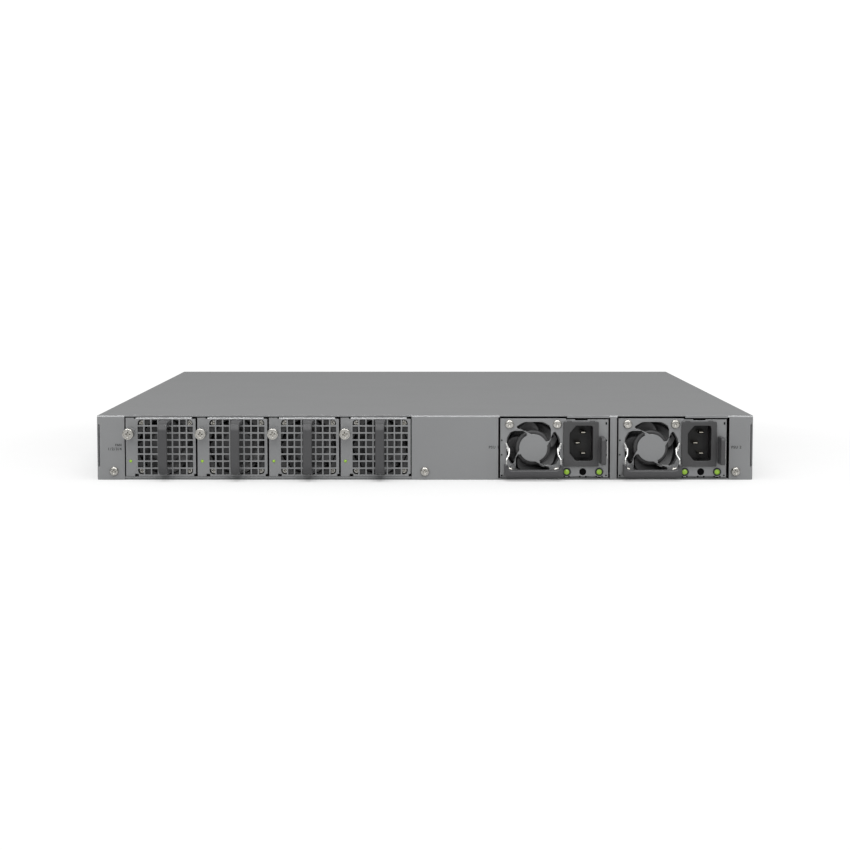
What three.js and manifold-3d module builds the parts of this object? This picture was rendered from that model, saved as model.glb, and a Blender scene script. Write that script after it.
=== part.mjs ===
// Rackmount network switch, one rack unit high, for a 19-inch rack.
// Millimetres, +Z up. The origin is the middle of the chassis underside. The rear side, with the fan
// modules and the power supplies, faces -Y, and the port side faces +Y. +X is to the right of a person
// who looks at the rear. The rear is at Y = REAR, and a depth behind it is measured inwards, along +Y.

import * as THREE from 'three';
import { mergeVertices } from 'three/addons/utils/BufferGeometryUtils.js';
import Module from 'manifold-3d';

// ---- Driving dimensions -------------------------------------------------------------------------

const WIDTH = 442.4;            // chassis, between the rack posts
const HEIGHT = 43.7;            // one rack unit less the usual clearance
const DEPTH = 500;
const SHEET = 1;                // base and cover sheet
const PANEL = 1.2;              // rear and port panels
const GAP = 0.3;                // between pieces that are only fastened together
const REAR = -DEPTH / 2;
const FRONT = DEPTH / 2;

const PANEL_TOP = HEIGHT - SHEET - GAP;         // top of the upright panels, under the cover
const PANEL_BOTTOM = SHEET + GAP;
const PANEL_HALF = WIDTH / 2 - SHEET - 0.6;     // the panels stop short of the side walls

const FAN_COUNT = 4;
const FAN_BAY_LEFT = -202.5;    // left edge of the first fan module's bay
const FAN_PITCH = 48.35;
const FAN_PLATE_GAP = 0.45;     // each side of a module's face plate
const FAN_PLATE_BOTTOM = 2.7;
const FAN_PLATE_TOP = 42.3;
const FAN_SIZE = 40;
const FAN_LENGTH = 48;
const FAN_OFFSET = 27.2;        // fan axis from the bay's left edge
const FAN_Z = 22.2;
const FAN_STRIP_TOP = 2;        // panel strip that runs under the fan modules

const GRILLE_CELLS = 8;
const GRILLE_PITCH = 4.78;
const GRILLE_BAR = 1;
const GRILLE_CORNER = 3;        // rounding of the four corner holes

const THUMB_OFFSET = 3.85;      // thumb screw from the bay's left edge
const THUMB_Z = 32.1;
const THUMB_HEAD_R = 3.55;
const THUMB_COLLAR_R = 3.2;
const THUMB_PROUD = 14;
const THUMB_SHANK_R = 1.5;

const FAN_LED_OFFSET = 3.7;
const FAN_LED_Z = 12.7;
const FAN_LED_R = 0.95;

const HANDLE_WIDTH = 6;
const HANDLE_PROUD = 16.6;
const HANDLE_TOP = 40.8;
const HANDLE_BOTTOM = 4.6;
const HANDLE_BAR = 3;

const PSU_LEFTS = [50.6, 130.3];
const PSU_WIDTH = 73.5;
const PSU_BOTTOM = 1.5;
const PSU_TOP = 41.9;
const PSU_DEPTH = 185;
const PSU_FAN_OFFSET = 22.5;
const PSU_FAN_Z = 21.6;
const PSU_FAN_SIZE = 37.2;
const PSU_FAN_LENGTH = 28;
const GUARD_HUB_R = 9.35;

const INLET_LEFT = 42.7;        // inlet frame, from the supply's left edge
const INLET_RIGHT = 66.4;
const INLET_BOTTOM = 9.2;
const INLET_TOP = 40.1;
const INLET_PROUD = 2.2;
const SOCKET_LEFT = 46.9;
const SOCKET_RIGHT = 62.6;
const SOCKET_BOTTOM = 13;
const SOCKET_TOP = 36.8;
const SOCKET_CHAMFER = [4.3, 5.1];
const SOCKET_DEPTH = 17;
const PIN_SETBACK = 4.6;        // pin tips behind the inlet's rim
const PINS = [
  ['line', 56.4, 32],
  ['neutral', 56.4, 17.9],
  ['earth', 52.6, 24.9],
];

const BAIL_HALF = 19.85;        // half of the bail handle's outer width
const BAIL_ARM = 1.1;
const BAIL_GRIP_BOTTOM = 2;
const BAIL_GRIP_TOP = 7.8;
const BAIL_PROUD = 11;
const BAIL_GRIP_DEPTH = 6;
const BAIL_PIVOT_Y = REAR - 2.6;
const BAIL_PIN_R = 0.9;
const EAR_OUTER = 18.45;        // ears that hold the bail's pins, from the fan axis
const EAR_THICK = 0.7;

const LATCH_LEFT = 67.2;
const LATCH_THICK = 3;
const LATCH_BOTTOM = 11.3;
const LATCH_TOP = 30.9;
const LATCH_PROUD = 17;

const PANEL_SCREWS = {
  rear_screw_left: [-210, 5.9],
  rear_screw_centre: [-0.1, 5.7],
  rear_screw_right: [209.8, 5.7],
};
const PANEL_SCREW_HEAD_R = 3.1;
const PANEL_SCREW_SHANK_R = 1.4;

const CENTRE_PANEL = [-8.8, 49.5];
const LEFT_MARGIN_EDGE = -202.9;
const DIVIDER = [124.9, 129.5];
const RIGHT_MARGIN_EDGE = 205.3;

const SFP = { columns: 12, rows: 2, pitchX: 14.25, pitchZ: 11.6, width: 13.4, height: 8.8, depth: 48 };
const QSFP = { columns: 3, rows: 2, pitchX: 19.5, pitchZ: 11.6, width: 18.4, height: 8.6, depth: 70 };
const CAGE_Z = 21.5;            // middle of the cage banks
const CAGE_PLUG_SETBACK = 1.2;  // dust plugs sit this far inside the cage mouths
const CAGE_PROUD = 0.6;
const CAGE_BANKS = [
  ['sfp_cages_left', -109, SFP],
  ['sfp_cages_right', 66, SFP],
  ['qsfp_cages', 185.5, QSFP],
];
const JACK = {
  x: -207.5, width: 15.6, height: 28.6, depth: 28,
  sockets: [14.6, 28.4], openingWidth: 11.8, openingHeight: 9, openingDepth: 13,
};

const BOARD = { left: -200, right: 200, rear: -58, front: 246, bottom: 4.8, thick: 1.6 };
const SINK = { x: 30, y: 70, width: 90, depth: 80, base: 4, height: 26, fins: 13, fin: 1.2 };
const BACKPLANE = { y: -186, thick: 1.6, bottom: 3, top: 40, holeHalf: 16, holeBottom: 10, holeTop: 36 };

// ---- Solids: three.js makes the closed shapes, manifold-3d joins and cuts them -------------------

const wasm = await Module();
wasm.setup();

function toManifold(geometry) {
  const bare = geometry.clone();
  bare.deleteAttribute('normal');
  bare.deleteAttribute('uv');
  const merged = mergeVertices(bare, 1e-4);
  return new wasm.Manifold(new wasm.Mesh({
    numProp: 3,
    vertProperties: new Float32Array(merged.attributes.position.array),
    triVerts: new Uint32Array(merged.index.array),
  }));
}

function toGeometry(solid) {
  const mesh = solid.getMesh();
  const geometry = new THREE.BufferGeometry();
  geometry.setAttribute('position', new THREE.BufferAttribute(mesh.vertProperties, 3));
  geometry.setIndex(new THREE.BufferAttribute(mesh.triVerts, 1));
  geometry.computeVertexNormals();
  return geometry;
}

function join(...geometries) {
  return toGeometry(geometries.map(toManifold).reduce((whole, next) => whole.add(next)));
}

// An outline in X and Z with holes through it, given thickness along Y from y0 to y1.
function pierced(shape, holes, y0, y1, curveSegments = 8) {
  return cut(slab(shape, y0, y1), ...holes.map((hole) => slab(hole, y0 - 1, y1 + 1, curveSegments)));
}

function cut(geometry, ...tools) {
  return toGeometry(tools.map(toManifold).reduce((rest, tool) => rest.subtract(tool), toManifold(geometry)));
}

// A box from its lowest to its highest corner.
function block(x0, x1, y0, y1, z0, z1) {
  const geometry = new THREE.BoxGeometry(x1 - x0, y1 - y0, z1 - z0);
  return geometry.translate((x0 + x1) / 2, (y0 + y1) / 2, (z0 + z1) / 2);
}

// An outline drawn in X and Z, given thickness along Y from y0 to y1.
function slab(shape, y0, y1, curveSegments = 8) {
  const geometry = new THREE.ExtrudeGeometry(shape, { depth: y1 - y0, bevelEnabled: false, curveSegments });
  return geometry.rotateX(Math.PI / 2).translate(0, y1, 0);
}

// An outline drawn in X and Y, given height along Z.
function column(shape, z0, z1) {
  const geometry = new THREE.ExtrudeGeometry(shape, { depth: z1 - z0, bevelEnabled: false });
  return geometry.translate(0, 0, z0);
}

// A turned piece on an axis along Y: the profile is [radius, y] from its lowest y to its highest.
function turned(profile, x, z, segments = 20) {
  const points = profile.map(([radius, y]) => new THREE.Vector2(radius, y));
  return new THREE.LatheGeometry(points, segments).translate(x, 0, z);
}

function rod(radius, x, z, y0, y1, segments = 20) {
  return turned([[0, y0], [radius, y0], [radius, y1], [0, y1]], x, z, segments);
}

function outline(points) {
  return new THREE.Shape(points.map(([x, y]) => new THREE.Vector2(x, y)));
}

function rectangle(x0, x1, z0, z1) {
  return outline([[x0, z0], [x1, z0], [x1, z1], [x0, z1]]);
}

function circle(x, z, radius) {
  return new THREE.Shape().absarc(x, z, radius, 0, 2 * Math.PI, false);
}

// ---- The object: named meshes in one group -------------------------------------------------------

const FINISHES = {
  painted: { color: 0x8b8c8d, roughness: 0.5, metalness: 0.3 },
  bare_steel: { color: 0xa9abac, roughness: 0.35, metalness: 1 },
  nickel: { color: 0xc4c2bb, roughness: 0.25, metalness: 1 },
  dark_plastic: { color: 0x505051, roughness: 0.5, metalness: 0 },
  black_plastic: { color: 0x202021, roughness: 0.45, metalness: 0 },
  light_pipe: { color: 0x92b83e, roughness: 0.3, metalness: 0 },
  board: { color: 0x1f4a33, roughness: 0.5, metalness: 0 },
  aluminium: { color: 0xb6b8ba, roughness: 0.4, metalness: 1 },
};

const networkSwitch = new THREE.Group();
networkSwitch.name = 'network_switch';

function add(name, geometry, finish) {
  const mesh = new THREE.Mesh(geometry, new THREE.MeshStandardMaterial(FINISHES[finish]));
  mesh.name = name;
  networkSwitch.add(mesh);
}

// ---- Chassis -------------------------------------------------------------------------------------

function baseTray() {
  const outer = WIDTH / 2;
  const inner = outer - SHEET;
  const channel = outline([
    [-outer, 0], [outer, 0], [outer, PANEL_TOP], [inner, PANEL_TOP],
    [inner, SHEET], [-inner, SHEET], [-inner, PANEL_TOP], [-outer, PANEL_TOP],
  ]);
  const standoffs = [];
  for (const x of [BOARD.left + 12, 0, BOARD.right - 12]) {
    for (const y of [BOARD.rear + 12, BOARD.front - 60]) {
      const standoff = new THREE.CylinderGeometry(3, 3, BOARD.bottom - SHEET / 2 - GAP, 12).rotateX(Math.PI / 2);
      standoffs.push(standoff.translate(x, y, (BOARD.bottom + SHEET / 2 - GAP) / 2));
    }
  }
  return join(slab(channel, REAR, FRONT), ...standoffs);
}

// Left margin, strip under the fan modules, and blank centre panel, in one sheet.
function rearPanel() {
  const left = -PANEL_HALF;
  const [centreLeft, centreRight] = CENTRE_PANEL;
  const sheet = outline([
    [left, PANEL_BOTTOM], [centreRight, PANEL_BOTTOM], [centreRight, PANEL_TOP], [centreLeft, PANEL_TOP],
    [centreLeft, FAN_STRIP_TOP], [LEFT_MARGIN_EDGE, FAN_STRIP_TOP], [LEFT_MARGIN_EDGE, PANEL_TOP],
    [left, PANEL_TOP],
  ]);
  return pierced(sheet, [screwHole('rear_screw_left'), screwHole('rear_screw_centre')], REAR, REAR + PANEL);
}

function rightCorner() {
  const sheet = rectangle(RIGHT_MARGIN_EDGE, PANEL_HALF, PANEL_BOTTOM, PANEL_TOP);
  return pierced(sheet, [screwHole('rear_screw_right')], REAR, REAR + PANEL);
}

function screwHole(name) {
  const [x, z] = PANEL_SCREWS[name];
  return circle(x, z, PANEL_SCREW_SHANK_R + GAP);
}

// Post between the two supplies, with the wall that parts their bays.
function bayDivider() {
  const [left, right] = DIVIDER;
  const wallLeft = (left + right - SHEET) / 2;
  const section = outline([
    [left, REAR], [right, REAR], [right, REAR + PANEL], [wallLeft + SHEET, REAR + PANEL],
    [wallLeft + SHEET, REAR + PSU_DEPTH], [wallLeft, REAR + PSU_DEPTH], [wallLeft, REAR + PANEL],
    [left, REAR + PANEL],
  ]);
  return column(section, PANEL_BOTTOM, PANEL_TOP);
}

function panScrew(x, z) {
  return turned([
    [0, REAR - 2.2], [2.1, REAR - 2.1], [PANEL_SCREW_HEAD_R, REAR - 0.9], [PANEL_SCREW_HEAD_R, REAR],
    [PANEL_SCREW_SHANK_R, REAR], [PANEL_SCREW_SHANK_R, REAR + 6], [0, REAR + 6],
  ], x, z);
}

add('base_tray', baseTray(), 'painted');
add('top_cover', block(-WIDTH / 2, WIDTH / 2, REAR, FRONT, HEIGHT - SHEET, HEIGHT), 'painted');
add('rear_panel', rearPanel(), 'painted');
add('rear_corner_right', rightCorner(), 'painted');
add('psu_bay_divider', bayDivider(), 'painted');
for (const [name, [x, z]] of Object.entries(PANEL_SCREWS)) {
  add(name, panScrew(x, z), 'nickel');
}

// ---- Port side -----------------------------------------------------------------------------------

function bankBox(cage) {
  return { halfWidth: (cage.columns * cage.pitchX + 1) / 2, halfHeight: (cage.rows * cage.pitchZ + 1.4) / 2 };
}

function bankOutline(centre, cage, margin) {
  const { halfWidth, halfHeight } = bankBox(cage);
  return rectangle(centre - halfWidth - margin, centre + halfWidth + margin,
    CAGE_Z - halfHeight - margin, CAGE_Z + halfHeight + margin);
}

// A bank of cages with its dust plugs in: a mouth for each port in front of one closed block.
function cageBank(centre, cage) {
  const mouth = FRONT + CAGE_PROUD;
  const mouths = [];
  for (let column = 0; column < cage.columns; column += 1) {
    for (let row = 0; row < cage.rows; row += 1) {
      const x = centre + (column - (cage.columns - 1) / 2) * cage.pitchX;
      const z = CAGE_Z + (row - (cage.rows - 1) / 2) * cage.pitchZ;
      mouths.push(rectangle(x - cage.width / 2, x + cage.width / 2, z - cage.height / 2, z + cage.height / 2));
    }
  }
  const { halfWidth, halfHeight } = bankBox(cage);
  const body = block(centre - halfWidth, centre + halfWidth, mouth - cage.depth, mouth - CAGE_PLUG_SETBACK,
    CAGE_Z - halfHeight, CAGE_Z + halfHeight);
  return join(pierced(bankOutline(centre, cage, 0), mouths, mouth - CAGE_PLUG_SETBACK, mouth), body);
}

function jackOutline(margin) {
  const halfWidth = JACK.width / 2 + margin;
  const halfHeight = JACK.height / 2 + margin;
  return rectangle(JACK.x - halfWidth, JACK.x + halfWidth, CAGE_Z - halfHeight, CAGE_Z + halfHeight);
}

function jackBlock() {
  const mouth = FRONT + CAGE_PROUD;
  const sockets = JACK.sockets.map((z) => block(
    JACK.x - JACK.openingWidth / 2, JACK.x + JACK.openingWidth / 2, mouth - JACK.openingDepth, mouth + 1,
    z - JACK.openingHeight / 2, z + JACK.openingHeight / 2,
  ));
  return cut(slab(jackOutline(0), mouth - JACK.depth, mouth), ...sockets);
}

function portPanel() {
  const sheet = rectangle(-PANEL_HALF, PANEL_HALF, PANEL_BOTTOM, PANEL_TOP);
  const openings = CAGE_BANKS.map(([, centre, cage]) => bankOutline(centre, cage, GAP));
  return pierced(sheet, [...openings, jackOutline(GAP)], FRONT - PANEL, FRONT);
}

add('port_panel', portPanel(), 'painted');
for (const [name, centre, cage] of CAGE_BANKS) {
  add(name, cageBank(centre, cage), 'bare_steel');
}
add('management_jacks', jackBlock(), 'black_plastic');

// ---- Inside --------------------------------------------------------------------------------------

function heatSink() {
  const left = SINK.x - SINK.width / 2;
  const base = BOARD.bottom + BOARD.thick;
  const gap = (SINK.width - SINK.fins * SINK.fin) / (SINK.fins - 1);
  const points = [[left, base], [left + SINK.width, base]];
  for (let fin = SINK.fins - 1; fin >= 0; fin -= 1) {
    const finLeft = left + fin * (SINK.fin + gap);
    const foot = base + SINK.base;
    const tip = base + SINK.height;
    const outerFoot = fin === SINK.fins - 1 ? [] : [[finLeft + SINK.fin, foot]];
    const innerFoot = fin === 0 ? [] : [[finLeft, foot]];
    points.push(...outerFoot, [finLeft + SINK.fin, tip], [finLeft, tip], ...innerFoot);
  }
  return slab(outline(points), SINK.y - SINK.depth / 2, SINK.y + SINK.depth / 2);
}

const fanLefts = Array.from({ length: FAN_COUNT }, (_, index) => FAN_BAY_LEFT + index * FAN_PITCH);

// An upright board with a large air hole behind each fan module.
function fanBackplane() {
  const { y, thick, bottom, top, holeHalf, holeBottom, holeTop } = BACKPLANE;
  const airHoles = fanLefts.map((left) => {
    const x = left + FAN_OFFSET;
    return rectangle(x - holeHalf, x + holeHalf, holeBottom, holeTop);
  });
  return pierced(rectangle(fanLefts[0], CENTRE_PANEL[0], bottom, top), airHoles, y, y + thick);
}

add('main_board', block(BOARD.left, BOARD.right, BOARD.rear, BOARD.front, BOARD.bottom,
  BOARD.bottom + BOARD.thick), 'board');
add('switch_heat_sink', heatSink(), 'aluminium');
add('fan_backplane', fanBackplane(), 'board');

// ---- Fans ----------------------------------------------------------------------------------------

// A square frame round the bore, with three struts and a motor plate at its inner end.
function fanFrame(x, z, size, bore, y0, y1, plateR) {
  const half = size / 2;
  const ring = rectangle(x - half, x + half, z - half, z + half);
  const pieces = [pierced(ring, [circle(x, z, bore)], y0, y1, 14), rod(plateR, x, z, y1 - 2.5, y1, 24)];
  for (const angle of [90, 210, 330]) {
    const strut = new THREE.BoxGeometry(bore + 0.4 - plateR / 2, 2.4, 2.4);
    strut.translate((bore + 0.4 + plateR / 2) / 2, y1 - 1.25, 0).rotateY(-THREE.MathUtils.degToRad(angle));
    pieces.push(strut.translate(x, 0, z));
  }
  return join(...pieces);
}

// A hub on the Y axis with flat blades set at a slant.
function rotor(x, z, hubR, tipR, y0, y1, blades) {
  const slant = THREE.MathUtils.degToRad(38);
  const chord = (y1 - y0 - 4) / Math.cos(slant);
  const sweep = chord / 2 * Math.sin(slant);
  const reach = Math.sqrt(tipR ** 2 - sweep ** 2);
  const pieces = [turned([[0, y0], [hubR - 1, y0], [hubR, y0 + 1], [hubR, y1], [0, y1]], x, z, 24)];
  for (let index = 0; index < blades; index += 1) {
    const blade = new THREE.BoxGeometry(reach - hubR + 2, chord, 1).rotateX(slant);
    blade.translate((reach + hubR - 2) / 2, (y0 + y1) / 2, 0).rotateY(index * 2 * Math.PI / blades);
    pieces.push(blade.translate(x, 0, z));
  }
  return join(...pieces);
}

// One square grille hole; the four at the corners of the grille have their outer corner rounded.
function grilleHole(x, z, half, sideX, sideZ) {
  const hole = new THREE.Shape();
  hole.moveTo(x - sideX * half, z - sideZ * half);
  hole.lineTo(x + sideX * half, z - sideZ * half);
  hole.lineTo(x + sideX * half, z + sideZ * (half - GRILLE_CORNER));
  hole.quadraticCurveTo(x + sideX * half, z + sideZ * half, x + sideX * (half - GRILLE_CORNER), z + sideZ * half);
  hole.lineTo(x - sideX * half, z + sideZ * half);
  return hole;
}

function fanPlate(left) {
  const sheet = rectangle(left + FAN_PLATE_GAP, left + FAN_PITCH - FAN_PLATE_GAP, FAN_PLATE_BOTTOM, FAN_PLATE_TOP);
  const half = (GRILLE_PITCH - GRILLE_BAR) / 2;
  const holes = [
    circle(left + THUMB_OFFSET, THUMB_Z, THUMB_SHANK_R + GAP),
    circle(left + FAN_LED_OFFSET, FAN_LED_Z, FAN_LED_R + GAP),
  ];
  const last = GRILLE_CELLS - 1;
  for (let column = 0; column <= last; column += 1) {
    for (let row = 0; row <= last; row += 1) {
      const x = left + FAN_OFFSET + (column - last / 2) * GRILLE_PITCH;
      const z = FAN_Z + (row - last / 2) * GRILLE_PITCH;
      const atCorner = column % last === 0 && row % last === 0;
      holes.push(atCorner
        ? grilleHole(x, z, half, column === 0 ? -1 : 1, row === 0 ? -1 : 1)
        : rectangle(x - half, x + half, z - half, z + half));
    }
  }
  return pierced(sheet, holes, REAR, REAR + SHEET, 5);
}

// A D-shaped pull: its side outline in Y and Z, carried across its width.
function fanHandle(x) {
  const face = REAR - HANDLE_PROUD;
  const inner = face + HANDLE_BAR;
  const side = outline([
    [REAR, HANDLE_TOP], [face + 4.4, HANDLE_TOP - 1], [face, HANDLE_TOP - 4.5], [face, HANDLE_BOTTOM + 5],
    [face + 4.2, HANDLE_BOTTOM + 0.4], [REAR, HANDLE_BOTTOM], [REAR, HANDLE_BOTTOM + 3.4],
    [inner + 3, HANDLE_BOTTOM + 3.6], [inner, HANDLE_BOTTOM + 6.4], [inner, HANDLE_TOP - 6],
    [inner + 3, HANDLE_TOP - 3.4], [REAR, HANDLE_TOP - 3.2],
  ]);
  const bar = new THREE.ExtrudeGeometry(side, { depth: HANDLE_WIDTH, bevelEnabled: false });
  return bar.applyMatrix4(acrossX(x - HANDLE_WIDTH / 2));
}

// Takes an outline drawn in (X, Y) and extruded along Z to one drawn in (Y, Z) and extruded along X.
function acrossX(x) {
  const basis = new THREE.Matrix4().makeBasis(
    new THREE.Vector3(0, 1, 0), new THREE.Vector3(0, 0, 1), new THREE.Vector3(1, 0, 0),
  );
  return basis.setPosition(x, 0, 0);
}

function thumbScrew(x) {
  const tip = REAR - THUMB_PROUD;
  return turned([
    [0, tip], [THUMB_HEAD_R - 0.6, tip], [THUMB_HEAD_R, tip + 0.6], [THUMB_HEAD_R, tip + 7.5],
    [THUMB_COLLAR_R, tip + 7.5], [THUMB_COLLAR_R, REAR - 0.2], [THUMB_SHANK_R, REAR - 0.2],
    [THUMB_SHANK_R, REAR + 11], [0, REAR + 12],
  ], x, THUMB_Z);
}

fanLefts.forEach((left, index) => {
  const n = index + 1;
  const x = left + FAN_OFFSET;
  const frameRear = REAR + SHEET + GAP;
  const frameFront = frameRear + FAN_LENGTH;
  add(`fan_${n}_plate`, fanPlate(left), 'painted');
  add(`fan_${n}_frame`, fanFrame(x, FAN_Z, FAN_SIZE, 19.2, frameRear, frameFront, 11), 'black_plastic');
  add(`fan_${n}_rotor`, rotor(x, FAN_Z, 11.5, 18.6, frameRear + 2, frameFront - 3.5, 5), 'dark_plastic');
  add(`fan_${n}_handle`, fanHandle(x), 'dark_plastic');
  add(`fan_${n}_thumb_screw`, thumbScrew(left + THUMB_OFFSET), 'nickel');
  add(`fan_${n}_light_pipe`, rod(FAN_LED_R, left + FAN_LED_OFFSET, FAN_LED_Z, REAR - 0.3, REAR + 5, 12), 'light_pipe');
});

// ---- Power supplies ------------------------------------------------------------------------------

// One of the four openings of the fan guard, round the hub disc. Each next one is turned by 90 degrees.
function guardOpening(x, z, turn) {
  const start = THREE.MathUtils.degToRad(27 + turn);
  const end = THREE.MathUtils.degToRad(102 + turn);
  const opening = new THREE.Shape();
  opening.absarc(x, z, GUARD_HUB_R, start, end, false);
  const edge = [
    [-5.2, 11.2], [-10.4, 13.4], [-11.1, 14.3], [-10.5, 15.1], [-6.2, 17.6], [6.6, 17.6],
    [10.9, 15], [11.6, 13.6], [11.6, 6.2], [10.8, 4.7],
  ];
  const angle = THREE.MathUtils.degToRad(turn);
  for (const [px, pz] of edge) {
    opening.lineTo(x + px * Math.cos(angle) - pz * Math.sin(angle), z + px * Math.sin(angle) + pz * Math.cos(angle));
  }
  opening.closePath();
  return opening;
}

function inletBody(left, margin) {
  return rectangle(left + SOCKET_LEFT - 1.3 - margin, left + SOCKET_RIGHT + 1.3 + margin,
    SOCKET_BOTTOM - 1.3 - margin, SOCKET_TOP + 1.3 + margin);
}

function psuPlate(left) {
  const x = left + PSU_FAN_OFFSET;
  const sheet = rectangle(left, left + PSU_WIDTH, PSU_BOTTOM, PSU_TOP);
  const holes = [
    ...[0, 90, 180, 270].map((turn) => guardOpening(x, PSU_FAN_Z, turn)),
    ...[[45.2, 2.4], [56, 2.3], [67.1, 2.4]].map(([offset, radius]) => circle(left + offset, 5.4, radius)),
    inletBody(left, GAP),
  ];
  const bore = rod(BAIL_PIN_R + GAP, 0, 0, -2 * BAIL_HALF, 2 * BAIL_HALF, 16).rotateZ(Math.PI / 2);
  const ears = [-1, 1].map((side) => block(
    x + side * (EAR_OUTER - EAR_THICK / 2) - EAR_THICK / 2, x + side * (EAR_OUTER - EAR_THICK / 2) + EAR_THICK / 2,
    BAIL_PIVOT_Y - 2, REAR + 0.5, PSU_FAN_Z - 2, PSU_FAN_Z + 2,
  ));
  return cut(join(pierced(sheet, holes, REAR, REAR + PANEL, 6), ...ears), bore.translate(x, BAIL_PIVOT_Y, PSU_FAN_Z));
}

function psuCase(left) {
  const wall = 0.8;
  const tube = rectangle(left + 0.4, left + PSU_WIDTH - 0.4, PSU_BOTTOM + 0.4, PSU_TOP - 0.4);
  const inside = rectangle(left + 0.4 + wall, left + PSU_WIDTH - 0.4 - wall, PSU_BOTTOM + 0.4 + wall,
    PSU_TOP - 0.4 - wall);
  return pierced(tube, [inside], REAR + PANEL + GAP, REAR + PSU_DEPTH);
}

// The socket is chamfered at the two corners nearest the earth pin.
function psuInlet(left) {
  const rim = REAR - INLET_PROUD;
  const floor = rim + SOCKET_DEPTH;
  const [chamferX, chamferZ] = SOCKET_CHAMFER;
  const socket = outline([
    [SOCKET_LEFT, SOCKET_BOTTOM + chamferZ], [SOCKET_LEFT + chamferX, SOCKET_BOTTOM],
    [SOCKET_RIGHT, SOCKET_BOTTOM], [SOCKET_RIGHT, SOCKET_TOP], [SOCKET_LEFT + chamferX, SOCKET_TOP],
    [SOCKET_LEFT, SOCKET_TOP - chamferZ],
  ].map(([x, z]) => [left + x, z]));
  const flange = block(left + INLET_LEFT, left + INLET_RIGHT, rim, REAR, INLET_BOTTOM, INLET_TOP);
  const body = slab(inletBody(left, 0), REAR - 0.5, floor + 1.5);
  return cut(join(flange, body), slab(socket, rim - 1, floor));
}

function inletPin(left, offset, z) {
  const rim = REAR - INLET_PROUD;
  return block(left + offset - 2, left + offset + 2, rim + PIN_SETBACK, rim + SOCKET_DEPTH - 0.05, z - 1, z + 1);
}

// The grip hangs below the pivots when it is folded, and a pin on each arm runs in an ear of the plate.
function bailHandle(left) {
  const x = left + PSU_FAN_OFFSET;
  const face = REAR - BAIL_PROUD;
  const back = face + BAIL_GRIP_DEPTH;
  const corner = 3;
  const grip = new THREE.Shape();
  grip.moveTo(x - BAIL_HALF, BAIL_GRIP_TOP);
  grip.lineTo(x - BAIL_HALF, BAIL_GRIP_BOTTOM + corner);
  grip.quadraticCurveTo(x - BAIL_HALF, BAIL_GRIP_BOTTOM, x - BAIL_HALF + corner, BAIL_GRIP_BOTTOM);
  grip.lineTo(x + BAIL_HALF - corner, BAIL_GRIP_BOTTOM);
  grip.quadraticCurveTo(x + BAIL_HALF, BAIL_GRIP_BOTTOM, x + BAIL_HALF, BAIL_GRIP_BOTTOM + corner);
  grip.lineTo(x + BAIL_HALF, BAIL_GRIP_TOP);
  const armSide = outline([
    [face, BAIL_GRIP_TOP - 2], [back, BAIL_GRIP_TOP - 2], [back, BAIL_GRIP_TOP + 2],
    [BAIL_PIVOT_Y + 1.7, PSU_FAN_Z - 2], [BAIL_PIVOT_Y + 2, PSU_FAN_Z], [BAIL_PIVOT_Y + 1.4, PSU_FAN_Z + 1.9],
    [BAIL_PIVOT_Y - 1, PSU_FAN_Z + 2], [BAIL_PIVOT_Y - 2.6, PSU_FAN_Z + 0.8], [face, BAIL_GRIP_TOP + 4.2],
  ]);
  const pieces = [slab(grip, face, back)];
  for (const side of [-1, 1]) {
    const arm = new THREE.ExtrudeGeometry(armSide, { depth: BAIL_ARM, bevelEnabled: false });
    pieces.push(arm.applyMatrix4(acrossX(x + side * (BAIL_HALF - BAIL_ARM / 2) - BAIL_ARM / 2)));
    const pinLength = BAIL_HALF - EAR_OUTER + EAR_THICK - 0.2;
    const pin = rod(BAIL_PIN_R, 0, 0, -pinLength / 2, pinLength / 2, 16).rotateZ(Math.PI / 2);
    pieces.push(pin.translate(x + side * (BAIL_HALF - 0.2 - pinLength / 2), BAIL_PIVOT_Y, PSU_FAN_Z));
  }
  return join(...pieces);
}

function releaseLatch(left) {
  const x = left + LATCH_LEFT;
  const corner = 2;
  const tab = new THREE.Shape();
  const face = REAR - LATCH_PROUD;
  tab.moveTo(REAR - GAP, LATCH_BOTTOM);
  tab.lineTo(REAR - GAP, LATCH_TOP);
  tab.lineTo(face + corner, LATCH_TOP);
  tab.quadraticCurveTo(face, LATCH_TOP, face, LATCH_TOP - corner);
  tab.lineTo(face, LATCH_BOTTOM + corner);
  tab.quadraticCurveTo(face, LATCH_BOTTOM, face + corner, LATCH_BOTTOM);
  const bar = new THREE.ExtrudeGeometry(tab, { depth: LATCH_THICK, bevelEnabled: false, curveSegments: 5 });
  return bar.applyMatrix4(acrossX(x));
}

PSU_LEFTS.forEach((left, index) => {
  const n = index + 1;
  const x = left + PSU_FAN_OFFSET;
  const frameRear = REAR + PANEL + GAP;
  const frameFront = frameRear + PSU_FAN_LENGTH;
  add(`psu_${n}_case`, psuCase(left), 'bare_steel');
  add(`psu_${n}_plate`, psuPlate(left), 'painted');
  add(`psu_${n}_fan_frame`, fanFrame(x, PSU_FAN_Z, PSU_FAN_SIZE, 17.8, frameRear, frameFront, 11), 'black_plastic');
  add(`psu_${n}_fan_rotor`, rotor(x, PSU_FAN_Z, 11.8, 17.2, frameRear + 2, frameFront - 3.5, 7), 'dark_plastic');
  add(`psu_${n}_inlet`, psuInlet(left), 'dark_plastic');
  for (const [pin, offset, z] of PINS) {
    add(`psu_${n}_${pin}_pin`, inletPin(left, offset, z), 'nickel');
  }
  add(`psu_${n}_bail_handle`, bailHandle(left), 'dark_plastic');
  add(`psu_${n}_release_latch`, releaseLatch(left), 'dark_plastic');
});

export default networkSwitch;
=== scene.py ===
import math

import bmesh
import bpy
import numpy as np
from bpy.props import FloatProperty, FloatVectorProperty, PointerProperty
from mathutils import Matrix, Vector
from mathutils.geometry import tessellate_polygon


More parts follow.
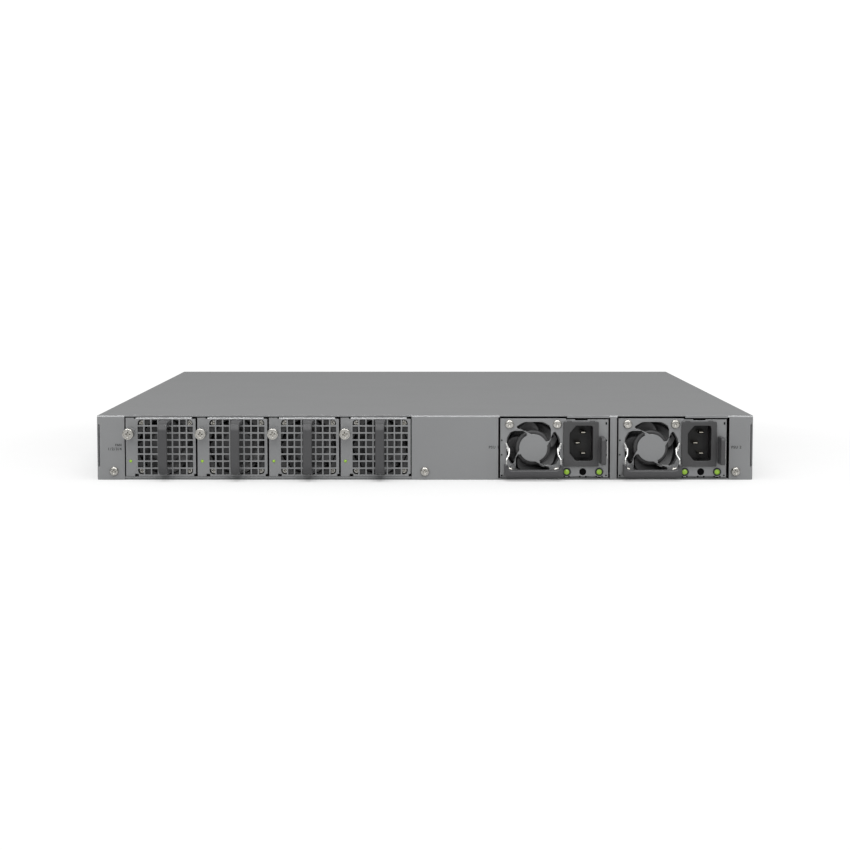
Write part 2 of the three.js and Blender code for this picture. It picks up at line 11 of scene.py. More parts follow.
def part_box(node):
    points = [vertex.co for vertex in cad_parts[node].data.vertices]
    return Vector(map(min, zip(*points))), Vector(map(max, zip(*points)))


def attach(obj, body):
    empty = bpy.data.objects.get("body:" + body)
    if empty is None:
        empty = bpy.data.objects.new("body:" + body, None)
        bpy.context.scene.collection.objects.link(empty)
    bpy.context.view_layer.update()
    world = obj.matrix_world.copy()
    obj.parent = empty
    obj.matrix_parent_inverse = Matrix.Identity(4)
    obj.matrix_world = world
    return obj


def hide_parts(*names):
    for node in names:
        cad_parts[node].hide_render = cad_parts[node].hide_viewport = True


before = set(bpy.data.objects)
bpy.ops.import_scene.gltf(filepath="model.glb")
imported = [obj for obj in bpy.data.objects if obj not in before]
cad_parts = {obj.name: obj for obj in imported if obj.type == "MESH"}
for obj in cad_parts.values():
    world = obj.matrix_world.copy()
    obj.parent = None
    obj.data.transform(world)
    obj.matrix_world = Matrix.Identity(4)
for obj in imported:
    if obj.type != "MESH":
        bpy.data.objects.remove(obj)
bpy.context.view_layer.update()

bl_info = {
    "name": "Rackmount network switch",
    "version": (1, 0, 0),
    "blender": (4, 5, 0),
    "location": "3D View > Sidebar > Switch",
    "description": "Builds the visible pieces of a one-unit rackmount network switch on its CAD frame",
    "category": "Object",
}

MM = 0.001                      # metres in a millimetre
FANS = (1, 2, 3, 4)
SUPPLIES = (1, 2)


def box_mm(node):
    """Lowest and highest corner of a CAD node, in millimetres, as two arrays."""
    low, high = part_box(node)
    return np.array(low) / MM, np.array(high) / MM


COVER_LOW, COVER_HIGH = box_mm("top_cover")
REAR, FRONT = float(COVER_LOW[1]), float(COVER_HIGH[1])
HALF, TOP = float(COVER_HIGH[0]), float(COVER_HIGH[2])
COVER_UNDER = float(COVER_LOW[2])
PANEL_TOP = float(box_mm("base_tray")[1][2])


# ---- Colours and finishes -----------------------------------------------------------------------

def linear(code):
    """An sRGB hex colour as linear red, green, blue and alpha."""
    parts = [int(code[i:i + 2], 16) / 255 for i in (1, 3, 5)]
    return (*(c / 12.92 if c <= 0.04045 else ((c + 0.055) / 1.055) ** 2.4 for c in parts), 1.0)


def add_node(tree, kind, links=None, values=None, **settings):
    """Adds a node, sets its attributes, gives inputs their constants and links inputs to output sockets."""
    node = tree.nodes.new(kind)
    for name, value in settings.items():
        setattr(node, name, value)
    for key, value in (values or {}).items():
        node.inputs[key].default_value = value
    for key, source in (links or {}).items():
        tree.links.new(source, node.inputs[key])
    return node


def grained(name, light, dark, grain_mm, bump_mm, roughness, spread=0.0, stretch=(1, 1, 1), cloud_mm=45.0,
            **shader):
    """A procedural finish. Noise at the real size of the grain, with a slow cloud under it, mixes two close
    colours, moves the roughness by spread, and raises a bump of that many millimetres. Stretch draws the
    grain out along an axis, as rolling or brushing does. Constants go straight onto the shader."""
    material = bpy.data.materials.new(name)
    material.use_nodes = True
    tree = material.node_tree
    tree.nodes.clear()
    place = add_node(tree, "ShaderNodeTexCoord").outputs["Object"]
    drawn = add_node(tree, "ShaderNodeMapping", {"Vector": place}, {"Scale": stretch}).outputs[0]
    grain = add_node(tree, "ShaderNodeTexNoise", {"Vector": drawn},
                     {"Scale": 1 / (grain_mm * MM), "Detail": 3.0})
    cloud = add_node(tree, "ShaderNodeTexNoise", {"Vector": place},
                     {"Scale": 1 / (cloud_mm * MM), "Detail": 1.0})
    both = add_node(tree, "ShaderNodeMath", {0: grain.outputs[0], 1: cloud.outputs[0]}, operation="ADD")
    share = add_node(tree, "ShaderNodeMapRange", {"Value": both.outputs[0]},
                     {"From Min": 0.75, "From Max": 1.25})
    colour = add_node(tree, "ShaderNodeMix", {0: share.outputs[0]}, {6: dark, 7: light}, data_type="RGBA")
    rough = add_node(tree, "ShaderNodeMapRange", {"Value": grain.outputs[0]},
                     {"From Min": 0.3, "From Max": 0.7,
                      "To Min": roughness - spread, "To Max": roughness + spread})
    relief = add_node(tree, "ShaderNodeBump", {"Height": grain.outputs[0]}, {"Distance": bump_mm * MM})
    body = add_node(tree, "ShaderNodeBsdfPrincipled",
                    {"Base Color": colour.outputs[2], "Roughness": rough.outputs[0],
                     "Normal": relief.outputs[0]},
                    {key.replace("_", " "): value for key, value in shader.items()})
    add_node(tree, "ShaderNodeOutputMaterial", {"Surface": body.outputs[0]})
    return material


def look():
    """The sizes and colours that the user has set."""
    return bpy.context.scene.network_switch


def powder_coat():
    """Grey powder coat baked on steel sheet: a fine even grain, and soft bright lines along the bends."""
    return grained("powder_coated_steel", look().paint_light, look().paint_dark, 0.7, 0.003, 0.4, 0.04,
                   Metallic=0.35, Coat_Weight=0.55, Coat_Roughness=0.22)


def rolled_steel():
    """Bright tin-plated steel strip, as cages and supply cases are folded from: long faint rolling lines."""
    return grained("tin_plated_steel", linear("#c2c3c2"), linear("#b7b8b7"), 1.6, 0.001, 0.34, 0.04,
                   stretch=(1, 0.06, 1), Metallic=1.0)


def nickel_plate():
    """Satin nickel over steel screws: warm, with crisp lights in the recess and round the rim."""
    return grained("nickel_plated_steel", linear("#c9c7c2"), linear("#bab8b2"), 0.5, 0.002, 0.22, 0.04,
                   Metallic=1.0)


def moulded_abs():
    """Dark grey ABS, moulded in a fine spark-eroded texture: soft, broad lights."""
    return grained("moulded_abs_dark_grey", look().plastic_light, look().plastic_dark, 0.35, 0.01, 0.42, 0.06,
                   IOR=1.53)


def moulded_pbt():
    """Dark glass-filled PBT of fan frames: nearly matt, with the faint mottle of the glass fibres."""
    return grained("moulded_pbt_black", linear("#484849"), linear("#3c3c3d"), 0.6, 0.015, 0.5, 0.1, IOR=1.57)


def rotor_plastic():
    """Charcoal PBT of impellers, polished in the tool so that each blade shows its curve."""
    return grained("moulded_pbt_charcoal", linear("#484849"), linear("#404041"), 0.8, 0.006, 0.42, 0.06,
                   IOR=1.57)


def inlet_plastic():
    """Dark grey thermoplastic polyester of appliance inlets, fine matt."""
    return grained("moulded_polyester_grey", linear("#424243"), linear("#3c3c3d"), 0.4, 0.008, 0.48, 0.06,
                   IOR=1.57)


def socket_shade_plastic():
    """The same polyester inside the socket, painted darker for the shade that falls in the socket, and
    glossy.
    """
    return grained("moulded_polyester_painted_shade", linear("#1a1a1b"), linear("#141415"), 0.5, 0.006, 0.4, 0.06,
                   IOR=1.57)


def pin_plate():
    """Nickel on brass contact pins: a little yellow under the plate."""
    return grained("nickel_plated_brass", linear("#cfcbc0"), linear("#bfbaad"), 0.6, 0.001, 0.22, 0.05,
                   stretch=(1, 0.2, 1), Metallic=1.0)


def pivot_steel():
    """Bright spring-steel wire of the bail handles."""
    return grained("bright_spring_steel", linear("#eeeeec"), linear("#dcdcda"), 0.6, 0.001, 0.24, 0.04,
                   Metallic=1.0)


def lit_lens():
    """Green polycarbonate light pipe with its diode on: an even glow under a glossy skin."""
    return grained("lit_green_lens", linear("#9cbd46"), linear("#86ab36"), 0.5, 0.004, 0.25, 0.03, IOR=1.58,
                   Emission_Color=look().light_colour, Emission_Strength=look().light_strength)


def bezel_plastic():
    """Near-black polycarbonate rings round the lights."""
    return grained("moulded_bezel_black", linear("#2a2b30"), linear("#202126"), 0.4, 0.005, 0.3, 0.05,
                   IOR=1.58)


def painted_shade_black():
    """Matt near-black painted shade, darker than any plastic: the shade deep in the small window, in the
    relief holes, behind the gap along the supplies' top edges and in the nuts' bores, where hardly any light
    comes back.
    """
    return grained("painted_shade_near_black", linear("#080809"), linear("#050506"), 0.4, 0.01, 0.85, 0.05,
                   IOR=1.45, Specular_IOR_Level=0.15)


def ink():
    """Dark grey pad-printed ink, slightly uneven at its edges."""
    return grained("pad_printed_ink", linear("#2c2d2e"), linear("#222324"), 0.2, 0.001, 0.6, 0.05,
                   cloud_mm=3.0)


def solder_mask():
    """Green solder mask over copper: a glossy skin on a woven glass board."""
    return grained("solder_mask_green", linear("#2b5b41"), linear("#1d4630"), 1.1, 0.01, 0.28, 0.05, IOR=1.55)


def extruded_aluminium():
    """Bare extruded aluminium: die lines along its length catch the light."""
    return grained("extruded_aluminium", linear("#c4c6c8"), linear("#aeb0b3"), 0.9, 0.004, 0.36, 0.08,
                   stretch=(1, 0.04, 1), Metallic=1.0)


def plug_rubber():
    """Grey silicone dust plugs: matt, with a little bloom."""
    return grained("moulded_silicone_grey", linear("#3a3b3c"), linear("#2e2f30"), 0.7, 0.02, 0.6, 0.06,
                   IOR=1.43)


def gold_plate():
    """Gold flash on contact springs: thin warm lines in a dark socket."""
    return grained("gold_plated_contact", linear("#e3bd6a"), linear("#d1a850"), 0.4, 0.001, 0.22, 0.04,
                   Metallic=1.0)


def clear_lens():
    """Unlit light pipes of milky polycarbonate: small pale dots."""
    return grained("milky_polycarbonate", linear("#c9cdc6"), linear("#b5bab2"), 0.4, 0.003, 0.28, 0.04,
                   IOR=1.58)


def white_floor():
    """White card under the switch. It takes the soft shadow close by, and further out it blends into the even
    white of the room. Only the camera sees it so white: the switch itself is lit by a duller card."""
    material = grained("matt_white_card", linear("#efefef"), linear("#ededed"), 2.0, 0.001, 0.8, 0.05)
    tree = material.node_tree
    card = next(node for node in tree.nodes if node.type == "BSDF_PRINCIPLED")
    output = next(node for node in tree.nodes if node.type == "OUTPUT_MATERIAL")
    place = add_node(tree, "ShaderNodeTexCoord").outputs["Object"]
    near = add_node(tree, "ShaderNodeMapping", {"Vector": place}, {"Scale": (0.9, 0.8, 0)}).outputs[0]
    away = add_node(tree, "ShaderNodeVectorMath", {0: near}, operation="LENGTH").outputs["Value"]
    share = add_node(tree, "ShaderNodeMapRange", {"Value": away}, {"From Min": 0.1, "From Max": 0.42},
                     interpolation_type="SMOOTHSTEP").outputs[0]
    white = add_node(tree, "ShaderNodeEmission", values={"Strength": 1.04})
    dull = add_node(tree, "ShaderNodeBsdfDiffuse", values={"Color": linear("#d8d8d8")})
    seen = add_node(tree, "ShaderNodeMixShader", {0: share, 1: card.outputs[0], 2: white.outputs[0]})
    ray = add_node(tree, "ShaderNodeLightPath").outputs["Is Camera Ray"]
    both = add_node(tree, "ShaderNodeMixShader", {0: ray, 1: dull.outputs[0], 2: seen.outputs[0]})
    tree.links.new(both.outputs[0], output.inputs["Surface"])
    return material


MAKERS = {
    maker.__name__: maker for maker in (
        powder_coat, rolled_steel, nickel_plate, moulded_abs, moulded_pbt, rotor_plastic, inlet_plastic,
        socket_shade_plastic, pin_plate, pivot_steel, lit_lens, bezel_plastic, painted_shade_black, ink, solder_mask,
        extruded_aluminium, plug_rubber, gold_plate, clear_lens, white_floor,
    )
}
FINISHES = {}


def finish(name):
    """The named finish, made the first time it is asked for."""
    if name not in FINISHES:
        FINISHES[name] = MAKERS[name]()
    return FINISHES[name]


# ---- Surfaces ------------------------------------------------------------------------------------

def quads(rows, columns, wrap=True):
    """The faces of a grid of points; each row closes on itself when wrap is true."""
    row, column = np.meshgrid(np.arange(rows - 1), np.arange(columns if wrap else columns - 1), indexing="ij")
    beside = (column + 1) % columns
    here = row * columns
    after = here + columns
    corners = [here + column, after + column, after + beside, here + beside]
    return np.stack(corners, -1).reshape(-1, 4).tolist()


def loft(rings, caps=True):
    """A skin through closed rings of points, an array of rings by points by 3, with its two ends filled."""
    rings = np.asarray(rings, float)
    count, points = rings.shape[:2]
    faces = quads(count, points)
    if caps:
        faces += [list(range(points)), list(range((count - 1) * points, count * points))]
    return rings.reshape(-1, 3), faces


def turned(profile, x, z, steps=40):
    """A profile of radius and y, carried round an axis along Y through x and z. Open ends are filled."""
    radius, y = np.asarray(profile, float).T[:, :, None]
    angle = np.linspace(0, 2 * np.pi, steps, endpoint=False)[None, :]
    rings = np.stack([x + radius * np.cos(angle), y + 0 * angle, z + radius * np.sin(angle)], -1)
    return loft(rings)


def ring(profile, x, z, steps=40):
    """A closed profile of radius and y, whose last point is its first, carried round an axis along Y."""
    return loft(turned(profile, x, z, steps)[0].reshape(len(profile), steps, 3), caps=False)


def arc(x, z, radius, start, end, steps=12):
    """Points on a circle, from one angle to another, in degrees."""
    angle = np.radians(np.linspace(start, end, steps))
    return np.stack([x + radius * np.cos(angle), z + radius * np.sin(angle)], -1)


def circle(x, z, radius, steps=32):
    """A whole circle, without its last point, which would be the first again."""
    return arc(x, z, radius, 0, 360, steps + 1)[:-1]


def rounded(points, radii, steps=5):
    """An outline whose corners are curves: each leaves its edge a radius before the corner and joins the next
    edge a radius after it, as a parabola between the three points. A radius of 0 keeps the corner."""
    points = np.asarray(points, float)
    radii = np.broadcast_to(np.asarray(radii, float), len(points))
    t = np.linspace(0, 1, steps)[:, None]
    curve = []
    for before, corner, after, radius in zip(np.roll(points, 1, 0), points, np.roll(points, -1, 0), radii):
        if radius == 0:
            curve.append(corner[None])
            continue
        start = corner + (before - corner) / np.linalg.norm(before - corner) * radius
        end = corner + (after - corner) / np.linalg.norm(after - corner) * radius
        curve.append((1 - t) ** 2 * start + 2 * t * (1 - t) * corner + t ** 2 * end)
    return np.concatenate(curve)


def rectangle(x0, x1, z0, z1, radius=0.0, steps=5):
    """An upright rectangle with rounded corners."""
    return rounded([(x0, z0), (x1, z0), (x1, z1), (x0, z1)], radius, steps)


def mitres(loop):
    """For each point of a closed outline, the step that moves both of its edges one unit to their left: the
    sum of the two edges' left normals, over one plus their dot product."""
    ahead = np.roll(loop, -1, 0) - loop
    ahead /= np.linalg.norm(ahead, axis=1)[:, None]
    left = np.stack([-ahead[:, 1], ahead[:, 0]], -1)
    before = np.roll(left, 1, 0)
    return (left + before) / (1 + (left * before).sum(1))[:, None]


def turn_way(loop, anticlockwise):
    """The outline in the asked direction, which the sign of its area tells: the sum of cross products."""
    x, z = loop.T
    area = (x * np.roll(z, -1) - np.roll(x, -1) * z).sum()
    return loop if (area > 0) == anticlockwise else loop[::-1]


def plate(outline, holes, y0, y1, round_rear=0.15, round_front=0.0, steps=4):
    """A flat sheet in X and Z, from y0 to y1, with holes. Each outline is carried through the sheet's
    thickness; at the two faces it moves into the material along a quarter circle, so every edge is rounded.
    The faces between the outlines are filled with triangles."""
    loops = [turn_way(np.asarray(outline, float), True)]
    loops += [turn_way(np.asarray(hole, float), False) for hole in holes]
    quarter = np.linspace(0, np.pi / 2, steps)
    levels = [(round_rear * (1 - np.sin(a)), y0 + round_rear * (1 - np.cos(a))) for a in quarter]
    if round_front > 0:
        levels += [(round_front * (1 - np.cos(a)), y1 - round_front * (1 - np.sin(a))) for a in quarter]
    else:
        levels += [(0.0, y1)]
    parts = []
    for loop in loops:
        step = mitres(loop)
        flat = np.stack([loop + inset * step for inset, _ in levels])
        depth = np.broadcast_to(np.array([y for _, y in levels])[:, None], flat.shape[:2])
        rings = np.stack([flat[..., 0], depth, flat[..., 1]], -1)
        parts.append(loft(rings, caps=False))
    for inset, y in (levels[0], levels[-1]):
        rims = [loop + inset * mitres(loop) for loop in loops]
        triangles = tessellate_polygon([[Vector((px, pz, 0)) for px, pz in rim] for rim in rims])
        flat = np.concatenate(rims)
        points = np.stack([flat[:, 0], np.full(len(flat), y), flat[:, 1]], -1)
        parts.append((points, [list(t) for t in triangles]))
    return joined(parts)


def joined(parts):
    """Several skins as one list of points and faces."""
    points, faces, count = [], [], 0
    for part_points, part_faces in parts:
        points.append(np.asarray(part_points, float))
        faces += [[index + count for index in face] for face in part_faces]
        count += len(part_points)
    return np.concatenate(points), faces


def block(x0, x1, y0, y1, z0, z1, radius=0.2):
    """A box with its outline in X and Z rounded at the corners, and both faces' edges rounded too."""
    return plate(rectangle(x0, x1, z0, z1, radius, 4), [], y0, y1, radius * 0.8, radius * 0.8, 3)


def ribbon(path, width, thickness, radius, steps=3):
    """A bar with a rounded rectangular section, carried along a path of y and z. The section's one side lies
    along X and is as wide as width says at each point; the other lies along the path's normal."""
    path = np.asarray(path, float)
    along = np.gradient(path, axis=0)
    along /= np.linalg.norm(along, axis=1)[:, None]
    normal = np.stack([-along[:, 1], along[:, 0]], -1)
    width = np.broadcast_to(np.asarray(width, float), len(path))
    rings = []
    for (y, z), (ny, nz), wide in zip(path, normal, width):
        section = rectangle(-wide / 2, wide / 2, -thickness / 2, thickness / 2, radius, steps)
        rings.append(np.stack([section[:, 0], y + section[:, 1] * ny, z + section[:, 1] * nz], -1))
    return loft(rings)


def wire(path, radius, steps=12):
    """A round wire along a path in space: each ring stands square to the path, turned as little as may be."""
    path = np.asarray(path, float)
    along = np.gradient(path, axis=0)
    along /= np.linalg.norm(along, axis=1)[:, None]
    side = np.cross(along, np.array([0.3, 0.2, 0.93]))
    side /= np.linalg.norm(side, axis=1)[:, None]
    other = np.cross(along, side)
    angle = np.linspace(0, 2 * np.pi, steps, endpoint=False)[None, :, None]
    rings = path[:, None] + radius * (np.cos(angle) * side[:, None] + np.sin(angle) * other[:, None])
    return loft(rings)


def bent(points, radius, steps=6):
    """An open path with its inner corners rounded, in two or three dimensions."""
    points = np.asarray(points, float)
    t = np.linspace(0, 1, steps)[:, None]
    curve = [points[:1]]
    for before, corner, after in zip(points[:-2], points[1:-1], points[2:]):
        start = corner + (before - corner) / np.linalg.norm(before - corner) * radius
        end = corner + (after - corner) / np.linalg.norm(after - corner) * radius
        curve.append((1 - t) ** 2 * start + 2 * t * (1 - t) * corner + t ** 2 * end)
    return np.concatenate(curve + [points[-1:]])


def mirrored(part, x):
    """A skin reflected in the plane at x; its faces are turned outwards again when the piece is made."""
    points, faces = part
    return points * np.array([-1, 1, 1]) + np.array([2 * x, 0, 0]), faces


def build(name, part, body, surface, sharp=35.0):
    """Makes a piece of a skin in millimetres: merges its doubles, turns its faces outwards, smooths it up to
    the sharp angle in degrees, gives it its finish, and lets it ride on its body."""
    points, faces = part
    mesh = bpy.data.meshes.new(name)
    mesh.from_pydata((np.asarray(points) * MM).tolist(), [], faces)
    work = bmesh.new()
    work.from_mesh(mesh)
    bmesh.ops.remove_doubles(work, verts=work.verts, dist=2e-7)
    bmesh.ops.dissolve_degenerate(work, edges=work.edges, dist=1e-7)
    bmesh.ops.recalc_face_normals(work, faces=work.faces)
    work.to_mesh(mesh)
    work.free()
    mesh.polygons.foreach_set("use_smooth", [True] * len(mesh.polygons))
    mesh.set_sharp_from_angle(angle=math.radians(sharp))
    piece = bpy.data.objects.new(name, mesh)
    bpy.context.scene.collection.objects.link(piece)
    mesh.materials.append(finish(surface))
    flatten = piece.modifiers.new("flat faces stay flat", "WEIGHTED_NORMAL")
    flatten.keep_sharp = True
    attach(piece, body)
    return piece


def coat(node, surface):
    """Gives a CAD node its finish."""
    for material_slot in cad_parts[node].material_slots:
        material_slot.material = finish(surface)


def across(section, x0, x1):
    """A closed section of y and z, carried along X."""
    section = np.asarray(section, float)
    rings = [np.column_stack([np.full(len(section), x), section]) for x in (x0, x1)]
    return loft(rings)


def upright(profile, x, y, steps=32):
    """A profile of radius and z, carried round an axis along Z."""
    points, faces = turned(profile, x, y, steps)
    return points[:, [0, 2, 1]], faces


def cross_recess(x, z, arm, width, depth, turn):
    """How deep a cross recess is at each point: the deeper of two crossing slots, each with sloping ends."""
    a = x * math.cos(turn) + z * math.sin(turn)
    b = z * math.cos(turn) - x * math.sin(turn)

    def one(along, aside):
        deep = np.clip((arm - np.abs(along)) / (0.7 * arm), 0, 1)
        return deep * np.clip((width - np.abs(aside)) / 0.12, 0, 1)

    return depth * np.maximum(one(a, b), one(b, a))


def screw(profile, x, z, arm, width, depth, turn=0.0, steps=64):
    """A screw head: a profile of radius and y from the middle of the face outwards, carried round its axis,
    with a cross recess pressed into the face."""
    radius, y = np.asarray(profile, float).T[:, :, None]
    angle = np.linspace(0, 2 * np.pi, steps, endpoint=False)[None, :]
    px, pz = radius * np.cos(angle), radius * np.sin(angle)
    face = y < y[-1] - 0.5
    sunk = y + np.where(face, cross_recess(px, pz, arm, width, depth, turn), 0)
    return loft(np.stack([x + px, sunk, z + pz], -1))


def dome(tip, rise, radius, count=14):
    """A shallow dome's profile, from its middle at y = tip to its rim, rise further in: a cosine."""
    r = np.linspace(0.0, radius, count)
    return np.column_stack([r, tip + rise * (1 - np.cos(r / radius * np.pi / 2))]).tolist()


def pan(tip, rise, radius, count=16):
    """A pan head's profile: nearly flat in the middle and quickly round at the rim. The height is one minus
    the root of one minus the sixth power of the share of the radius."""
    share = np.sin(np.linspace(0, np.pi / 2, count))
    height = rise * (1 - np.sqrt(np.clip(1 - share ** 6, 0, 1)))
    return np.column_stack([share * radius, tip + height]).tolist()


# ---- Sizes and colours a user may change -----------------------------------------------------------

class SwitchLook(bpy.types.PropertyGroup):
    """Sizes in millimetres and linear colours of the visible pieces."""

    paint_light: FloatVectorProperty(
        name="Paint, light", description="Lighter of the powder coat's two close colours",
        default=linear("#8e8f90"), size=4, subtype="COLOR", min=0, max=1)
    paint_dark: FloatVectorProperty(
        name="Paint, dark", description="Darker of the powder coat's two close colours",
        default=linear("#8b8c8d"), size=4, subtype="COLOR", min=0, max=1)
    plastic_light: FloatVectorProperty(
        name="Handle plastic, light", description="Lighter colour of the moulded handles",
        default=linear("#474748"), size=4, subtype="COLOR", min=0, max=1)
    plastic_dark: FloatVectorProperty(
        name="Handle plastic, dark", description="Darker colour of the moulded handles",
        default=linear("#414143"), size=4, subtype="COLOR", min=0, max=1)
    light_colour: FloatVectorProperty(
        name="Status light", description="Colour that the status lights give off",
        default=linear("#8fd01e"), size=4, subtype="COLOR", min=0, max=1)
    light_strength: FloatProperty(
        name="Light strength", description="How strongly the status lights glow", default=0.16, min=0, max=5)
    bend: FloatProperty(
        name="Bend radius", description="Outer radius of the bends in the sheet, in millimetres",
        default=1.1, min=0.3, max=3)
    grip_round: FloatProperty(
        name="Handle edge radius", description="Edge radius of the moulded handles, in millimetres",
        default=0.7, min=0.2, max=1.4)


class SwitchPiece:
    """What the operators share: they can be undone."""

    bl_options = {"REGISTER", "UNDO"}


# ---- Chassis ---------------------------------------------------------------------------------------

FAN_BOXES = {n: box_mm(f"fan_{n}_plate") for n in FANS}
PSU_BOXES = {n: box_mm(f"psu_{n}_plate") for n in SUPPLIES}
PANEL_BOX = box_mm("rear_panel")
CORNER_BOX = box_mm("rear_corner_right")
DIVIDER_BOX = box_mm("psu_bay_divider")
# The fan bay, from the first module's plate to the last one's, with the play beside them
FAN_BAY = (float(FAN_BOXES[1][0][0]) - 0.7, float(FAN_BOXES[4][1][0]) + 0.5)
SHEET = 1.2                     # thickness of the panels' sheet
SEAM = 0.05                     # hairline between two sheets that meet flush
LIP_DROP = 1.75                 # how far the cover's lip hangs over the inlet half of each supply
INLET_HALF = 45.2               # where that half starts, from a supply's left edge
BAY_GAP = 0.3                   # play beside a supply
CUT_EDGE = 0.08                 # radius of a sheared edge
LIP_EDGE = 0.1                  # radius of the lip's upper edge
THINNED = 0.45                  # how much thinner the cover's edge is over the fan half of each supply


class SWITCH_OT_cover(SwitchPiece, bpy.types.Operator):
    """Top cover with its rear bends and lips: one section carried from side to side, which changes over each
    bay"""

    bl_idname = "switch.cover"
    bl_label = "Top cover"

    def section(self, x, radius, bottom, ceiling, rear=REAR):
        """The cover's section of y and z at one x: from the rear edge's foot up, over the bend, which is
        nearly flat at 45 degrees, along the top, round the front edge and back underneath. Nothing stands
        above the ceiling."""
        bend = rounded([(rear, TOP - 2 * radius), (rear, TOP - radius), (rear + radius, TOP),
                        (rear + 2 * radius, TOP)], [0, radius * 0.35, radius * 0.35, 0], 4)[1:-1]
        front = arc(FRONT - 0.5, TOP - 0.5, 0.5, 90, 0, 4)
        lip = REAR + 1.3
        under = [(FRONT, COVER_UNDER), (lip, COVER_UNDER), (lip, bottom)]
        outline = np.concatenate([[(rear, bottom)], bend, front, under])
        outline[:, 1] = np.minimum(outline[:, 1], ceiling)
        return np.column_stack([np.full(len(outline), x), outline])

    def execute(self, context):
        bend = look().bend
        flush = PANEL_TOP + 0.1
        stretches = [(-HALF, FAN_BAY[0], bend, flush, REAR),
                     (FAN_BAY[0], FAN_BAY[1], CUT_EDGE, COVER_UNDER, REAR + 1.0)]
        edge = FAN_BAY[1]
        for n in SUPPLIES:
            left, right = float(PSU_BOXES[n][0][0]) - BAY_GAP, float(PSU_BOXES[n][1][0]) + BAY_GAP
            step = left + BAY_GAP + INLET_HALF
            stretches.append((edge, left, bend, flush, REAR))
            stretches.append((left, step, CUT_EDGE, COVER_UNDER + THINNED, REAR))
            stretches.append((step, right, LIP_EDGE, TOP - LIP_DROP, REAR))
            edge = right
        stretches.append((edge, HALF, bend, flush, REAR))
        rings = []
        for x, ceiling in ((-HALF, TOP - 0.5), (-HALF + 0.15, TOP - 0.15)):
            rings.append(self.section(x, bend, flush, ceiling))
        for start, end, radius, bottom, rear in stretches:
            for x in (max(start, -HALF + 0.5), min(end, HALF - 0.5)):
                rings.append(self.section(x, radius, bottom, TOP, rear))
        for x, ceiling in ((HALF - 0.15, TOP - 0.15), (HALF, TOP - 0.5)):
            rings.append(self.section(x, bend, flush, ceiling))
        piece = build("top_cover_folded", loft(rings), "chassis", "powder_coat")
        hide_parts("top_cover")
        return {"FINISHED"}


class SWITCH_OT_tray(SwitchPiece, bpy.types.Operator):
    """Base tray with its side walls, bottom bends and board standoffs"""

    bl_idname = "switch.tray"
    bl_label = "Base tray"

    def execute(self, context):
        wall = 1.0
        bend = look().bend
        channel = rounded(
            [(-HALF, 0), (HALF, 0), (HALF, PANEL_TOP), (HALF - wall, PANEL_TOP), (HALF - wall, wall),
             (-HALF + wall, wall), (-HALF + wall, PANEL_TOP), (-HALF, PANEL_TOP)],
            [bend, bend, 0, 0, 0, 0, 0, 0])
        parts = [plate(channel, [], REAR + SHEET + SEAM, FRONT - SHEET - SEAM, 0.1)]
        foot = np.concatenate([arc(REAR + 2.2, 2.25, 2.2, 180, 270, 7),
                               [(REAR + 2.5, 0.05), (REAR + 2.5, 2.25)]])
        parts.append(across(foot, FAN_BAY[0] + 0.1, FAN_BAY[1] - 0.1))
        board_low, board_high = box_mm("main_board")
        under_board = board_low[2] - 0.3
        standoff = [(0, wall), (3, wall), (3, under_board), (0, under_board)]
        for x in (board_low[0] + 12, 0, board_high[0] - 12):
            for y in (board_low[1] + 12, board_high[1] - 60):
                parts.append(upright(standoff, x, y))
        piece = build("base_tray_folded", joined(parts), "chassis", "powder_coat")
        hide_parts("base_tray")
        return {"FINISHED"}


SIDE_SLOT = (0.5, 1.55, 9.0, 37.6)       # slot by each side wall: from the wall's face, then its Z range


class SWITCH_OT_rear_panels(SwitchPiece, bpy.types.Operator):
    """Rear panel sheets: left margin, blank centre, right corner, and the post between the supplies"""

    bl_idname = "switch.rear_panels"
    bl_label = "Rear panels"

    def execute(self, context):
        left, right = FAN_BAY
        end = float(PANEL_BOX[1][0])
        inner, outer, low, high = SIDE_SLOT
        y0, y1 = REAR, REAR + SHEET
        margin = rounded([(-HALF, 0.05), (left, 0.05), (left, PANEL_TOP), (-HALF, PANEL_TOP)], [0.9, 0, 0, 0])
        slot = rectangle(-HALF + inner, -HALF + outer, low, high, 0.3)
        centre = rectangle(right, end, 0.05, PANEL_TOP)
        screws = {name: (box_mm(name)[0] + box_mm(name)[1]) / 2 for name in
                  ("rear_screw_left", "rear_screw_centre", "rear_screw_right")}
        hole = {name: circle(middle[0], middle[2], 1.7, 20) for name, middle in screws.items()}
        parts = [plate(margin, [slot, hole["rear_screw_left"]], y0, y1),
                 plate(centre, [hole["rear_screw_centre"]], y0, y1)]
        piece = build("rear_panel_sheet", joined(parts), "chassis", "powder_coat")
        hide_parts("rear_panel")
        start = float(CORNER_BOX[0][0])
        corner = rounded([(start, 0.05), (HALF, 0.05), (HALF, PANEL_TOP), (start, PANEL_TOP)], [0, 0.9, 0, 0])
        slot = rectangle(HALF - outer, HALF - inner, low, high, 0.3)
        piece = build("rear_corner_sheet", plate(corner, [slot, hole["rear_screw_right"]], y0, y1), "chassis",
                      "powder_coat")
        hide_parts("rear_corner_right")
        low_corner, high_corner = DIVIDER_BOX
        middle = (low_corner[0] + high_corner[0]) / 2
        post = plate(rectangle(low_corner[0], high_corner[0], 0.05, PANEL_TOP), [], y0, y1)
        wall = block(middle - 0.5, middle + 0.5, y1 - 0.05, float(high_corner[1]), 1.3, PANEL_TOP, 0.05)
        piece = build("psu_bay_post", joined([post, wall]), "chassis", "powder_coat")
        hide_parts("psu_bay_divider")
        return {"FINISHED"}


